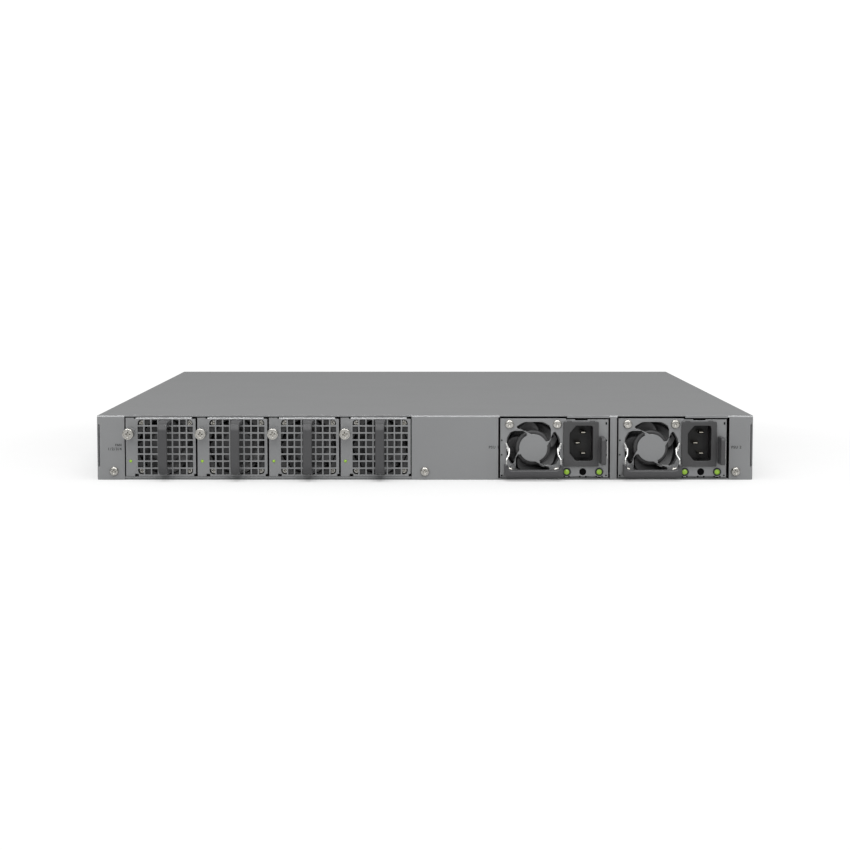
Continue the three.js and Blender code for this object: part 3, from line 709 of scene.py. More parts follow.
class SWITCH_OT_panel_screws(SwitchPiece, bpy.types.Operator):
    """Pan-head screws of the rear panel"""

    bl_idname = "switch.panel_screws"
    bl_label = "Panel screws"

    def execute(self, context):
        for turn, name in enumerate(("rear_screw_left", "rear_screw_centre", "rear_screw_right")):
            low, high = box_mm(name)
            x, z, radius = (low[0] + high[0]) / 2, (low[2] + high[2]) / 2, (high[0] - low[0]) / 2
            shank = [(radius, REAR - 0.02), (1.4, REAR), (1.4, float(high[1])), (0, float(high[1]))]
            part = screw(pan(REAR - 2.2, 1.7, radius) + shank, x, z, 1.7, 0.38, 1.0, 0.2 * turn - 0.1)
            piece = build(f"{name}_head", part, "chassis", "nickel_plate")
            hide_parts(name)
        return {"FINISHED"}


LABELS = (          # name, words, right or left edge in X, baseline Z, letter height, spacing, alignment
    ("fan_word", "FAN", -204.8, 22.9, 1.5, 1.1, "RIGHT"),
    ("fan_numbers", "1/2/3/4", -204.8, 20.1, 1.75, 1.3, "RIGHT"),
    ("psu_1_word", "PSU 1", 43.0, 21.3, 1.75, 1.15, "LEFT"),
    ("psu_2_word", "PSU 2", 206.7, 21.3, 1.75, 1.15, "LEFT"),
)


class SWITCH_OT_labels(SwitchPiece, bpy.types.Operator):
    """Printed labels beside the fan modules and the supplies"""

    bl_idname = "switch.labels"
    bl_label = "Printed labels"

    def execute(self, context):
        for name, words, x, z, height, spacing, side in LABELS:
            text = bpy.data.curves.new(name, "FONT")
            text.body = words
            text.align_x = side
            text.size = height / 0.7 * MM
            text.extrude = 0.02 * MM
            text.space_character = spacing
            text.offset = 0.06 * MM
            holder = bpy.data.objects.new(name, text)
            mesh = bpy.data.meshes.new_from_object(holder)
            bpy.data.objects.remove(holder)
            points = np.empty(len(mesh.vertices) * 3)
            mesh.vertices.foreach_get("co", points)
            points = points.reshape(-1, 3) / MM
            placed = np.column_stack([x + points[:, 0], REAR - 0.05 - points[:, 2], z + points[:, 1]])
            faces = [list(face.vertices) for face in mesh.polygons]
            build(f"label_{name}", (placed, faces), "chassis", "ink")
        return {"FINISHED"}


# ---- Fan modules -----------------------------------------------------------------------------------

GRILLE_CELLS = 8                 # square holes each way
GRILLE_PITCH = 4.78
GRILLE_BAR = 1.0                 # width of the bars between them
FAN_SCREW_PITCH = 32.0           # the usual hole pitch of a 40 mm fan


def fan_centre(n):
    """The axis of a fan module's fan, in X and Z."""
    low, high = box_mm(f"fan_{n}_frame")
    return (low[0] + high[0]) / 2, (low[2] + high[2]) / 2


class SWITCH_OT_fan_plates(SwitchPiece, bpy.types.Operator):
    """Face plates of the fan modules, with their grilles, relief notches and folded top edges"""

    bl_idname = "switch.fan_plates"
    bl_label = "Fan module plates"

    def holes(self, n):
        """The grille's square holes, the corner ones with a round outer corner, and the two round holes."""
        x, z = fan_centre(n)
        half = (GRILLE_PITCH - GRILLE_BAR) / 2
        last = GRILLE_CELLS - 1
        for column in range(GRILLE_CELLS):
            for row in range(GRILLE_CELLS):
                cx, cz = x + (column - last / 2) * GRILLE_PITCH, z + (row - last / 2) * GRILLE_PITCH
                radii = [0.22] * 4
                if column in (0, last) and row in (0, last):
                    radii[{(0, 0): 0, (1, 0): 1, (1, 1): 2, (0, 1): 3}[(column // last, row // last)]] = 2.9
                yield rectangle(cx - half, cx + half, cz - half, cz + half, radii, 4)
        for node, margin in ((f"fan_{n}_thumb_screw", -1.75), (f"fan_{n}_light_pipe", 0.12)):
            low, high = box_mm(node)
            yield circle((low[0] + high[0]) / 2, (low[2] + high[2]) / 2, (high[0] - low[0]) / 2 + margin, 24)

    def execute(self, context):
        for n in FANS:
            low, high = FAN_BOXES[n]
            left, width = low[0], high[0] - low[0]
            foot, lip, shoulder = low[2] + 0.4, low[2] - 0.3, high[2] - 1.0
            outline = [
                (0.1, lip), (6.1, lip), (6.1, foot + 1.0), (8.6, foot + 1.0), (8.6, lip), (46.0, lip),
                (46.0, foot + 0.9), (width - 0.15, foot + 0.9), (width - 0.15, shoulder), (6.85, shoulder),
                (5.75, shoulder), (5.75, high[2] - 0.2), (0.1, high[2] - 0.2),
            ]
            outline = np.array(outline) + [left, 0]
            sheet = plate(outline, list(self.holes(n)), REAR, REAR + 1.0, 0.14, 0.0, 3)
            fold = rounded([(REAR, shoulder - 0.05), (REAR + 1.0, high[2]), (REAR + 1.3, high[2]),
                            (REAR + 1.3, shoulder - 0.05)], [0.12, 0.12, 0, 0], 3)
            parts = [sheet, across(fold, left + 6.9, left + 44.7)]
            piece = build(f"fan_{n}_grille_plate", joined(parts), f"fan_module_{n}",
                          "powder_coat")
            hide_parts(f"fan_{n}_plate")
        return {"FINISHED"}


def motor_mount(x, z, reach, first, back):
    """The disc that carries a fan's motor, and the three arms that hold it, a third of a turn apart."""
    parts = [turned([(0, back - 2.5), (11, back - 2.5), (11, back), (0, back)], x, z)]
    for angle in (first, first + 120, first + 240):
        along = np.array([math.cos(math.radians(angle)), math.sin(math.radians(angle))])
        aside = np.array([-along[1], along[0]]) * 1.2
        root, tip = along * 10, along * reach
        corners = np.array([root - aside, tip - aside, tip + aside, root + aside])
        parts.append(plate(corners + [x, z], [], back - 2.4, back, 0.3, 0.3))
    return parts


class SWITCH_OT_fan_frames(SwitchPiece, bpy.types.Operator):
    """Fan frames with their bores, corner bosses and motor struts, and the screws in their corners"""

    bl_idname = "switch.fan_frames"
    bl_label = "Fan frames"

    def execute(self, context):
        for n in FANS:
            low, high = box_mm(f"fan_{n}_frame")
            x, z = fan_centre(n)
            half, back = (high[0] - low[0]) / 2, float(high[1])
            boss = FAN_SCREW_PITCH / 2
            corners = [(i, j) for i in (-1, 1) for j in (-1, 1)]
            mouth = rectangle(x - half, x + half, z - half, z + half, 2.5)
            holes = [circle(x + i * boss, z + j * boss, 1.7, 16) for i, j in corners]
            front = plate(mouth, [circle(x, z, 18.9, 64)] + holes, REAR + 3.0, REAR + 7.0, 0.4, 0.0, 3)
            tunnel = plate(mouth, [circle(x, z, 19.1, 64)], REAR + 7.0, back, 0.02)
            parts = [front, tunnel] + motor_mount(x, z, 19.3, 90, back)
            piece = build(f"fan_{n}_tunnel", joined(parts), f"fan_module_{n}", "moulded_pbt")
            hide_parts(f"fan_{n}_frame")
            profile = pan(REAR + 2.0, 0.7, 2.3, 9) + [(2.3, REAR + 3.0), (0, REAR + 3.1)]
            heads = [screw(profile, x + i * boss, z + j * boss, 1.3, 0.3, 0.7, 0.4 * i + j, 32)
                     for i, j in corners]
            build(f"fan_{n}_corner_screws", joined(heads), f"fan_module_{n}", "nickel_plate")
        return {"FINISHED"}


def impeller(x, z, hub, tip, y0, y1, blades, sweep, deep):
    """A fan rotor. The hub is a turned cup with a rounded rim. Each blade is a lens-shaped section, chord by
    thickness, laid along a helix: its angle grows with depth, and its root leads its tip."""
    rim = arc(hub - 1.4, y0 + 1.4, 1.4, 270, 360, 6)
    cup = np.concatenate([[(0, y0 + 0.25), (hub * 0.62, y0 + 0.25), (hub * 0.66, y0)], rim,
                          [(hub, y1), (0, y1)]])
    parts = [turned(cup, x, z, 56)]
    s = np.linspace(0, 1, 15)
    half = 0.55 * np.sqrt(np.clip(1 - (2 * s - 1) ** 4, 0, 1)) + 0.05
    chord = np.concatenate([s, s[::-1]])
    lens = np.concatenate([half, -half[::-1]])
    for index in range(blades):
        rings = []
        for radius in np.linspace(hub - 0.4, tip, 8):
            lean = 0.35 * max(0.0, (radius - hub) / (tip - hub)) ** 1.3
            angle = 2 * np.pi * index / blades + chord * sweep + lean + lens / radius
            y = y0 + 1.6 + chord * deep
            rings.append(np.stack([x + radius * np.cos(angle), y, z + radius * np.sin(angle)], -1))
        parts.append(loft(rings))
    return joined(parts)


class SWITCH_OT_fan_rotors(SwitchPiece, bpy.types.Operator):
    """Impellers of the fan modules"""

    bl_idname = "switch.fan_rotors"
    bl_label = "Fan impellers"

    def execute(self, context):
        for n in FANS:
            x, z = fan_centre(n)
            low, high = box_mm(f"fan_{n}_rotor")
            part = impeller(x, z, 11.5, 18.3, float(low[1]), float(high[1]), 7, 1.6, 8.0)
            piece = build(f"fan_{n}_impeller", part, f"fan_rotor_{n}", "rotor_plastic")
            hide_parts(f"fan_{n}_rotor")
        return {"FINISHED"}


class SWITCH_OT_fan_handles(SwitchPiece, bpy.types.Operator):
    """D-shaped handles of the fan modules, flared where they meet the plate"""

    bl_idname = "switch.fan_handles"
    bl_label = "Fan handles"

    def execute(self, context):
        for n in FANS:
            low, high = box_mm(f"fan_{n}_handle")
            x = (low[0] + high[0]) / 2
            face, foot, top = low[1], low[2], high[2]
            thick = 2.8
            centre = face + thick / 2
            path = bent([
                (REAR, top - 1.45), (REAR - 8, top - 1.8), (face + 3.9, top - 2.4), (centre, top - 5.2),
                (centre, foot + 5.2), (face + 3.6, foot + 1.9), (REAR - 8, foot + 1.6), (REAR, foot + 1.4),
            ], 1.3, 5)
            out = np.clip((REAR - path[:, 0]) / 12.0, 0, 1)
            width = 7.8 - 1.8 * out ** 0.8
            points, faces = ribbon(path, width, thick, look().grip_round, 5)
            points[:, 0] += x
            piece = build(f"fan_{n}_pull", (points, faces), f"fan_module_{n}", "moulded_abs")
            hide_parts(f"fan_{n}_handle")
        return {"FINISHED"}


KNURLS = 36                      # straight ridges round a thumb screw's barrel
KNURL_DEPTH = 0.08               # their depth, as a share of the radius


class SWITCH_OT_thumb_screws(SwitchPiece, bpy.types.Operator):
    """Captive thumb screws of the fan modules, and the ferrules that keep them. Every other point of the
    barrel moves towards the axis, which leaves straight ridges"""

    bl_idname = "switch.thumb_screws"
    bl_label = "Thumb screws"

    def execute(self, context):
        for n in FANS:
            low, high = box_mm(f"fan_{n}_thumb_screw")
            x, z, radius = (low[0] + high[0]) / 2, (low[2] + high[2]) / 2, (high[0] - low[0]) / 2 + 0.15
            tip = float(low[1])
            face = [(r, tip + 0.3) for r in np.linspace(0, radius - 1.0, 14)]
            rim = [(radius - 0.8, tip + 0.02), (radius - 0.5, tip), (radius - 0.22, tip + 0.1),
                   (radius - 0.05, tip + 0.32), (radius + 0.04, tip + 0.7)]
            barrel = [(radius + 0.04, tip + 7.0), (radius - 0.3, tip + 7.4), (2.4, tip + 7.5), (2.4, REAR),
                      (1.5, REAR + 0.1), (1.5, float(high[1])), (0, float(high[1]))]
            profile = face + rim + barrel
            points, faces = screw(profile, x, z, 2.1, 0.4, 1.3, 0.1 * n - 0.2, KNURLS * 2)
            rings = points.reshape(len(profile), -1, 3)
            first = len(face + rim) - 1
            valleys = rings[first:first + 2, ::2]
            valleys += KNURL_DEPTH * (np.array([x, 0, z]) - valleys) * [1, 0, 1]
            piece = build(f"fan_{n}_captive_screw", (points, faces), f"fan_screw_{n}",
                          "nickel_plate")
            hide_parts(f"fan_{n}_thumb_screw")
            ferrule = [(2.5, REAR + 0.4), (2.5, REAR - 2.6), (3.0, REAR - 2.6), (3.2, REAR - 2.3),
                       (3.2, REAR + 0.4), (2.5, REAR + 0.4)]
            build(f"fan_{n}_ferrule", ring(ferrule, x, z), f"fan_module_{n}", "powder_coat")
        return {"FINISHED"}


class SWITCH_OT_fan_lights(SwitchPiece, bpy.types.Operator):
    """Light pipes of the fan modules"""

    bl_idname = "switch.fan_lights"
    bl_label = "Fan lights"

    def execute(self, context):
        for n in FANS:
            low, high = box_mm(f"fan_{n}_light_pipe")
            x, z, radius = (low[0] + high[0]) / 2, (low[2] + high[2]) / 2, (high[0] - low[0]) / 2
            profile = dome(float(low[1]), 0.25, radius, 8) + [(radius, float(high[1])), (0, float(high[1]))]
            piece = build(f"fan_{n}_light", turned(profile, x, z, 32), f"fan_module_{n}",
                          "lit_lens")
            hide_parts(f"fan_{n}_light_pipe")
        return {"FINISHED"}


# ---- Power supplies --------------------------------------------------------------------------------

PSU_FAN = (22.5, 21.6)           # fan axis, from a supply's left edge and above the floor
GUARD_HUB = 9.35                 # radius of the pinwheel guard's middle disc
GUARD_REACH = 17.6               # how far out its openings reach
INLET_MARGIN = 1.6               # how far the inlet's flange laps over the plate
# Places on each supply's face: from its left edge, and above the floor
PSU_SCREWS = ((6.4, 37.7), (38.6, 37.7), (6.4, 5.5), (38.6, 5.5))
PSU_LIGHTS = ((45.2, 5.35), (67.1, 5.35))
PSU_SENSOR = (56.0, 5.45)
PSU_HOLE_SHADES = (                    # near-black discs painted on the plate as the shade of small relief holes near its edges
    (1.2, 26.8), (1.2, 17.0), (1.2, 3.0), (71.7, 38.6), (71.7, 37.9), (71.7, 26.8), (71.7, 16.9), (71.7, 3.0),
    (43.6, 2.2), (46.7, 2.2), (54.0, 2.2), (58.1, 2.2), (65.2, 2.2), (69.0, 2.2),
)


def psu_left(n):
    """A supply's left edge in X."""
    return float(PSU_BOXES[n][0][0])


def guard_opening(x, z, turn):
    """One opening of the pinwheel guard: an arc round the hub, then the arm's edge, two slanted corners and
    the next arm's edge. Each of the four is the first one turned by a right angle."""
    hub = arc(0, 0, GUARD_HUB, 27, 99, 12)
    rest = rounded([
        (-1.6, 9.3), (-5.0, 11.3), (-10.5, 13.2), (-11.1, 14.6), (-6.2, GUARD_REACH), (6.6, GUARD_REACH),
        (11.0, 15.0), (11.6, 13.4), (11.6, 6.2), (10.6, 4.6), (8.5, 4.3),
    ], [0, 1.2, 0.7, 0.8, 1.4, 1.4, 1.2, 1.2, 1.2, 0.8, 0], 4)
    points = np.concatenate([hub, rest[1:-1]])
    c, s = math.cos(math.radians(turn)), math.sin(math.radians(turn))
    return points @ np.array([[c, s], [-s, c]]) * [1.02, 1] + [x, z]


class SWITCH_OT_psu_plates(SwitchPiece, bpy.types.Operator):
    """Face plates of the power supplies with their pinwheel fan guards, and the ears of the bail handles"""

    bl_idname = "switch.psu_plates"
    bl_label = "Supply plates"

    def execute(self, context):
        for n in SUPPLIES:
            low, high = PSU_BOXES[n]
            left, width = psu_left(n), float(high[0] - low[0])
            x, z = left + PSU_FAN[0], PSU_FAN[1]
            top = float(high[2]) - 0.3
            outline = rounded([
                (0, low[2]), (44.0, low[2]), (44.0, low[2] + 0.8), (46.2, low[2] + 0.8), (46.2, low[2]),
                (66.2, low[2]), (66.2, low[2] + 0.8), (68.4, low[2] + 0.8), (68.4, low[2]), (width, low[2]),
                (width, top - 0.7), (59.1, top - 0.7), (59.1, top - 1.3), (50.7, top - 1.3),
                (50.7, top - 0.7), (44.2, top - 0.7), (44.2, top), (0, top),
            ], 0.12, 3)
            outline = outline * [(width - 0.45) / width, 1] + [left + 0.15, 0]
            inlet_low, inlet_high = box_mm(f"psu_{n}_inlet")
            inlet = rectangle(inlet_low[0] + INLET_MARGIN, inlet_high[0] - INLET_MARGIN,
                              inlet_low[2] + INLET_MARGIN, inlet_high[2] - INLET_MARGIN)
            holes = [guard_opening(x, z, turn) for turn in (0, 90, 180, 270)] + [inlet]
            holes += [circle(left + px, pz, 2.75) for px, pz in PSU_LIGHTS]
            holes += [circle(left + PSU_SENSOR[0], PSU_SENSOR[1], 2.3)]
            sheet = plate(outline, holes, REAR, REAR + SHEET, 0.22, 0.0, 4)
            piece = build(f"psu_{n}_face", sheet, f"psu_{n}", "powder_coat")
            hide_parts(f"psu_{n}_plate")
            ear = np.array([(16.8, -1.9), (17.7, -1.9), (17.7, 0.3), (19.1, 3.5), (18.1, 3.9), (16.7, 0.8)])
            right = plate(ear + [x, z], [], REAR - 4.3, REAR + 0.5, 0.12)
            build(f"psu_{n}_bail_ears", joined([right, mirrored(right, x)]), f"psu_{n}",
                  "pivot_steel")
            coat(f"psu_{n}_case", "rolled_steel")
        return {"FINISHED"}


class SWITCH_OT_psu_fans(SwitchPiece, bpy.types.Operator):
    """Fans of the power supplies: frame and impeller"""

    bl_idname = "switch.psu_fans"
    bl_label = "Supply fans"

    def execute(self, context):
        for n in SUPPLIES:
            low, high = box_mm(f"psu_{n}_fan_frame")
            x, z, half = (low[0] + high[0]) / 2, (low[2] + high[2]) / 2, (high[0] - low[0]) / 2
            body = plate(rectangle(x - half, x + half, z - half, z + half, 2.0), [circle(x, z, 17.9, 64)],
                         float(low[1]), float(high[1]), 0.5)
            parts = [body] + motor_mount(x, z, 18, 30, float(high[1]))
            piece = build(f"psu_{n}_tunnel", joined(parts), f"psu_{n}", "moulded_pbt")
            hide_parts(f"psu_{n}_fan_frame")
            low, high = box_mm(f"psu_{n}_fan_rotor")
            part = impeller(x, z, 12.0, 17.2, float(low[1]), float(high[1]), 5, 1.6, 9.0)
            piece = build(f"psu_{n}_impeller", part, f"psu_rotor_{n}", "rotor_plastic")
            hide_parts(f"psu_{n}_fan_rotor")
        return {"FINISHED"}


class SWITCH_OT_inlets(SwitchPiece, bpy.types.Operator):
    """AC inlets of the power supplies with their pins"""

    bl_idname = "switch.inlets"
    bl_label = "AC inlets"

    def execute(self, context):
        for n in SUPPLIES:
            low, high = box_mm(f"psu_{n}_inlet")
            left = psu_left(n)
            mouth = rounded([(46.9, 18.1), (51.2, 13.0), (62.6, 13.0), (62.6, 36.8), (51.2, 36.8),
                             (46.9, 31.7)], [0.6, 0.6, 1.8, 1.8, 0.6, 0.6]) + [left, 0]
            frame_edge = rounded([
                (low[0], low[2]), (high[0], low[2]), (high[0], high[2] - 0.6), (high[0] - 2.2, high[2] - 0.6),
                (high[0] - 2.6, high[2]), (high[0] - 5.4, high[2]), (high[0] - 5.8, high[2] - 0.6),
                (low[0] + 5.8, high[2] - 0.6), (low[0] + 5.4, high[2]), (low[0] + 2.6, high[2]),
                (low[0] + 2.2, high[2] - 0.6), (low[0], high[2] - 0.6),
            ], [0.8, 0.8, 0.8, 0.1, 0.3, 0.3, 0.1, 0.1, 0.3, 0.3, 0.1, 0.8], 4)
            rim, floor = float(low[1]), float(high[1]) - 1.5
            flange = plate(frame_edge, [mouth], rim, REAR - 0.05, 0.35, 0.0, 4)
            piece = build(f"psu_{n}_inlet_frame", flange, f"psu_{n}", "inlet_plastic")
            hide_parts(f"psu_{n}_inlet")
            shell = rectangle(left + 45.6, left + 63.9, 11.7, 38.1, 1.0)
            tube = plate(shell, [mouth], REAR, floor, 0.01)
            back = plate(shell, [], floor, float(high[1]), 0.01)
            # The well is painted darker than the frame: painted shade inside the socket.
            build(f"psu_{n}_inlet_well", joined([tube, back]), f"psu_{n}", "socket_shade_plastic")
            for pin in ("line", "neutral", "earth"):
                low_pin, high_pin = box_mm(f"psu_{n}_{pin}_pin")
                middle, tip = (low_pin + high_pin) / 2, low_pin[1]
                rings = []
                for y, slim in ((tip, 0.7), (tip + 0.5, 0.4), (tip + 1.4, 0.0), (floor, 0.0)):
                    half_x, half_z = 2.0 - slim, 1.0 - slim
                    edge = rectangle(-half_x, half_x, -half_z, half_z, 0.2, 3) + [middle[0], middle[2]]
                    rings.append(np.column_stack([edge[:, 0], np.full(len(edge), y), edge[:, 1]]))
                piece = build(f"psu_{n}_{pin}_blade", loft(rings), f"psu_{n}", "pin_plate")
                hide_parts(f"psu_{n}_{pin}_pin")
        return {"FINISHED"}


class SWITCH_OT_bail_handles(SwitchPiece, bpy.types.Operator):
    """Bail handles: a moulded grip on a bright wire that turns in the ears of the plate. The grip's front
    falls back below its middle by the square of the depth, so that fingers find it from underneath"""

    bl_idname = "switch.bail_handles"
    bl_label = "Bail handles"

    def execute(self, context):
        for n in SUPPLIES:
            low, high = box_mm(f"psu_{n}_bail_handle")
            x, z = psu_left(n) + PSU_FAN[0], PSU_FAN[1]
            half, foot, face = (high[0] - low[0]) / 2, float(low[2]), float(low[1])
            top = foot + 9.3
            bar = foot + 5.6
            inner = half - 2.4
            grip = rounded([
                (-half, foot), (half, foot), (half, top), (inner, top), (inner, bar), (-inner, bar),
                (-inner, top), (-half, top),
            ], [3.0, 3.0, 0.5, 0.5, 3.0, 3.0, 0.5, 0.5], 7) + [x, 0]
            points, faces = plate(grip, [], face, face + 6.0, 1.15, 1.15, 6)
            below = np.clip((foot + 3.4 - points[:, 2]) / 3.4, 0, 1)
            points[:, 1] += 2.3 * below ** 2 * np.clip((face + 4.0 - points[:, 1]) / 4.0, 0, 1)
            piece = build(f"psu_{n}_bail_grip", (points, faces), f"psu_bail_{n}",
                          "moulded_abs")
            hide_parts(f"psu_{n}_bail_handle")
            wires = []
            for side in (-1, 1):
                path = [(side * 18.3, face + 3.0, top - 4.0), (side * 18.3, face + 3.4, top + 3.2),
                        (side * 16.6, REAR - 4.6, z - 4.4), (side * 16.3, REAR - 2.6, z),
                        (side * 18.2, REAR - 2.6, z)]
                wires.append(wire(bent(path, 0.9) + [x, 0, 0], 0.72))
            build(f"psu_{n}_bail_wire", joined(wires), f"psu_bail_{n}", "pivot_steel")
        return {"FINISHED"}


class SWITCH_OT_latches(SwitchPiece, bpy.types.Operator):
    """Release latches of the power supplies"""

    bl_idname = "switch.latches"
    bl_label = "Release latches"

    def execute(self, context):
        for n in SUPPLIES:
            low, high = box_mm(f"psu_{n}_release_latch")
            side = rounded([(high[1], low[2]), (high[1], high[2] - 1.3), (low[1], high[2] - 0.9),
                            (low[1], low[2])], [0.1, 0.1, 2.6, 2.6], 7)
            points, faces = plate(side, [], float(low[0]), float(high[0]), 0.7, 0.7, 5)
            points = points[:, [1, 0, 2]]
            piece = build(f"psu_{n}_latch_tab", (points, faces), f"psu_latch_{n}",
                          "moulded_abs")
            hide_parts(f"psu_{n}_release_latch")
        return {"FINISHED"}


class SWITCH_OT_psu_trim(SwitchPiece, bpy.types.Operator):
    """Fan screws, status lights in their bezels, latch springs, and the painted shade of each power supply:
    near-black in its small window, on its relief holes and behind the gap along its top edge"""

    bl_idname = "switch.psu_trim"
    bl_label = "Supply screws and lights"

    def execute(self, context):
        for n in SUPPLIES:
            left = psu_left(n)
            shank = [(3.12, REAR - 0.02), (1.4, REAR), (1.4, REAR + 3), (0, REAR + 3)]
            profile = pan(REAR - 1.9, 1.5, 3.12) + shank
            heads = [screw(profile, left + px, pz, 1.6, 0.34, 0.55, 0.05 * index)
                     for index, (px, pz) in enumerate(PSU_SCREWS)]
            build(f"psu_{n}_fan_screws", joined(heads), f"psu_{n}", "nickel_plate")
            bezel = [(1.85, REAR + 2.5), (1.85, REAR - 0.3), (2.1, REAR - 0.5), (2.5, REAR - 0.5),
                     (2.7, REAR - 0.25), (2.7, REAR + 2.5), (1.85, REAR + 2.5)]
            lens = dome(REAR - 0.35, 0.45, 1.8, 8) + [(1.8, REAR + 2), (0, REAR + 2)]
            bezels = [ring(bezel, left + px, pz) for px, pz in PSU_LIGHTS]
            lenses = [turned(lens, left + px, pz, 32) for px, pz in PSU_LIGHTS]
            build(f"psu_{n}_light_bezels", joined(bezels), f"psu_{n}", "bezel_plastic")
            build(f"psu_{n}_lights", joined(lenses), f"psu_{n}", "lit_lens")
            spring = across([(REAR - 2.6, 14.6), (REAR + 0.2, 14.6), (REAR + 0.2, 26.4), (REAR - 2.6, 26.4)],
                            left + 72.0, left + 72.35)
            build(f"psu_{n}_latch_spring", spring, f"psu_{n}", "pivot_steel")
            px, pz = PSU_SENSOR
            # The window's cup is near-black: painted shade deep in the small hole.
            cup = [(0, REAR + 1.1), (2.1, REAR + 1.1), (2.1, REAR - 0.15), (2.28, REAR - 0.15),
                   (2.28, REAR + 1.4), (0, REAR + 1.4)]
            # A near-black strip behind the plate's top edge: painted shade in the gap there.
            gap_shade_strip = block(left + 44.6, left + 73.0, REAR + 1.25, REAR + 1.45, 40.2, 41.8, 0.05)
            painted_shade_parts = [turned(cup, left + px, pz, 32), gap_shade_strip]
            # Near-black discs on the plate's face: painted shade of the small relief holes.
            hole_shade_disc = [(0, REAR - 0.02), (0.58, REAR - 0.02), (0.58, REAR + 0.2), (0, REAR + 0.2)]
            painted_shade_parts += [turned(hole_shade_disc, left + px, pz, 16) for px, pz in PSU_HOLE_SHADES]
            build(f"psu_{n}_window", joined(painted_shade_parts), f"psu_{n}", "painted_shade_black")
        return {"FINISHED"}


# ---- Port side -------------------------------------------------------------------------------------

CAGE_BANKS = (                   # node, columns, port pitch in X, mouth width, mouth height
    ("sfp_cages_left", 12, 14.25, 13.4, 8.8),
    ("sfp_cages_right", 12, 14.25, 13.4, 8.8),
    ("qsfp_cages", 3, 19.5, 18.4, 8.6),
)
ROW_PITCH = 11.6                 # from the lower row of ports to the upper
ROW_SPLIT = 21.0                 # height between the two rows
PLUG_SETBACK = 1.2               # how far the plugs sit behind the cages' mouths
LAMP_HEIGHT = 37.6               # the row of port lights
LAMP_STEP = 2.2                  # how far each stands aside of its port, right for the upper row
JACK_SOCKETS = (14.6, 28.4)      # heights of the two sockets


def ports(node, columns, pitch):
    """The middle of each port of a bank, in X and Z."""
    low, high = box_mm(node)
    x, z = (low[0] + high[0]) / 2, (low[2] + high[2]) / 2
    return [(x + (column - (columns - 1) / 2) * pitch, z + side * ROW_PITCH / 2)
            for column in range(columns) for side in (-1, 1)]


class SWITCH_OT_port_panel(SwitchPiece, bpy.types.Operator):
    """Port panel with its openings and the row of port lights above the cages"""

    bl_idname = "switch.port_panel"
    bl_label = "Port panel"

    def execute(self, context):
        outline = rounded([(-HALF, 0.05), (HALF, 0.05), (HALF, PANEL_TOP), (-HALF, PANEL_TOP)],
                          [0.9, 0.9, 0, 0])
        holes = []
        for node in [bank[0] for bank in CAGE_BANKS] + ["management_jacks"]:
            low, high = box_mm(node)
            holes.append(rectangle(low[0] - 0.3, high[0] + 0.3, low[2] - 0.3, high[2] + 0.3, 0.4))
        lamp = [(r, FRONT - y + 0.1) for r, y in dome(0.25, 0.25, 0.8, 5) + [(0.8, 2.5), (0, 2.5)]]
        lamps = []
        for node, columns, pitch, _, _ in CAGE_BANKS:
            for x, z in ports(node, columns, pitch):
                lamp_x = x + math.copysign(LAMP_STEP, z - ROW_SPLIT)
                holes.append(circle(lamp_x, LAMP_HEIGHT, 0.85, 16))
                lamps.append(turned(lamp, lamp_x, LAMP_HEIGHT, 16))
        sheet = plate(outline, holes, FRONT - SHEET, FRONT, 0.0, 0.15)
        piece = build("port_panel_sheet", sheet, "chassis", "powder_coat")
        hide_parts("port_panel")
        build("port_lights", joined(lamps), "chassis", "clear_lens")
        return {"FINISHED"}


class SWITCH_OT_cages(SwitchPiece, bpy.types.Operator):
    """Port cages with their spring fingers and dust plugs"""

    bl_idname = "switch.cages"
    bl_label = "Port cages"

    def execute(self, context):
        for node, columns, pitch, width, height in CAGE_BANKS:
            low, high = box_mm(node)
            mouth = float(high[1])
            middles = ports(node, columns, pitch)
            mouths = [rectangle(x - width / 2, x + width / 2, z - height / 2, z + height / 2, 0.35, 3)
                      for x, z in middles]
            rim = plate(rectangle(low[0], high[0], low[2], high[2], 0.4, 3), mouths, mouth - 4.0, mouth,
                        0.0, 0.25, 3)
            shell = block(float(low[0]) + 0.3, float(high[0]) - 0.3, float(low[1]), mouth - 3.5,
                          float(low[2]) + 0.3, float(high[2]) - 0.3, 0.3)
            bow = arc(0, 0, 1.0, 0, 180, 7) * [1.6, 0.55]
            parts = [rim, shell]
            for edge, way in ((float(high[2]), 1), (float(low[2]), -1)):
                for x in np.arange(low[0] + 2.0, high[0] - 1.5, pitch / 4):
                    strip = np.column_stack([mouth - 1.9 + bow[:, 0], edge + way * (bow[:, 1] - 0.12)])
                    parts.append(across(strip, x - 1.1, x + 1.1))
            piece = build(f"{node}_shell", joined(parts), "chassis", "rolled_steel")
            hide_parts(node)
            plugs = []
            face = mouth - PLUG_SETBACK
            for x, z in middles:
                left, right = x - width / 2 + 0.35, x + width / 2 - 0.35
                foot, top = z - height / 2 + 0.35, z + height / 2 - 0.35
                pocket = rectangle(left + 1.4, right - 1.4, foot + 1.3, top - 1.3, 0.9, 4)
                edge = rectangle(left, right, foot, top, 0.7, 4)
                plugs.append(plate(edge, [pocket], face - 2.0, face, 0.0, 0.35, 3))
                plugs.append(block(left + 0.6, right - 0.6, face - 2.4, face - 1.7, foot + 0.6, top - 0.6,
                                   0.25))
                plugs.append(block(left + 2.8, right - 2.8, face - 1.8, face + 0.6, z - 0.55, z + 0.55, 0.3))
            build(f"{node}_plugs", joined(plugs), "chassis", "plug_rubber")
        return {"FINISHED"}


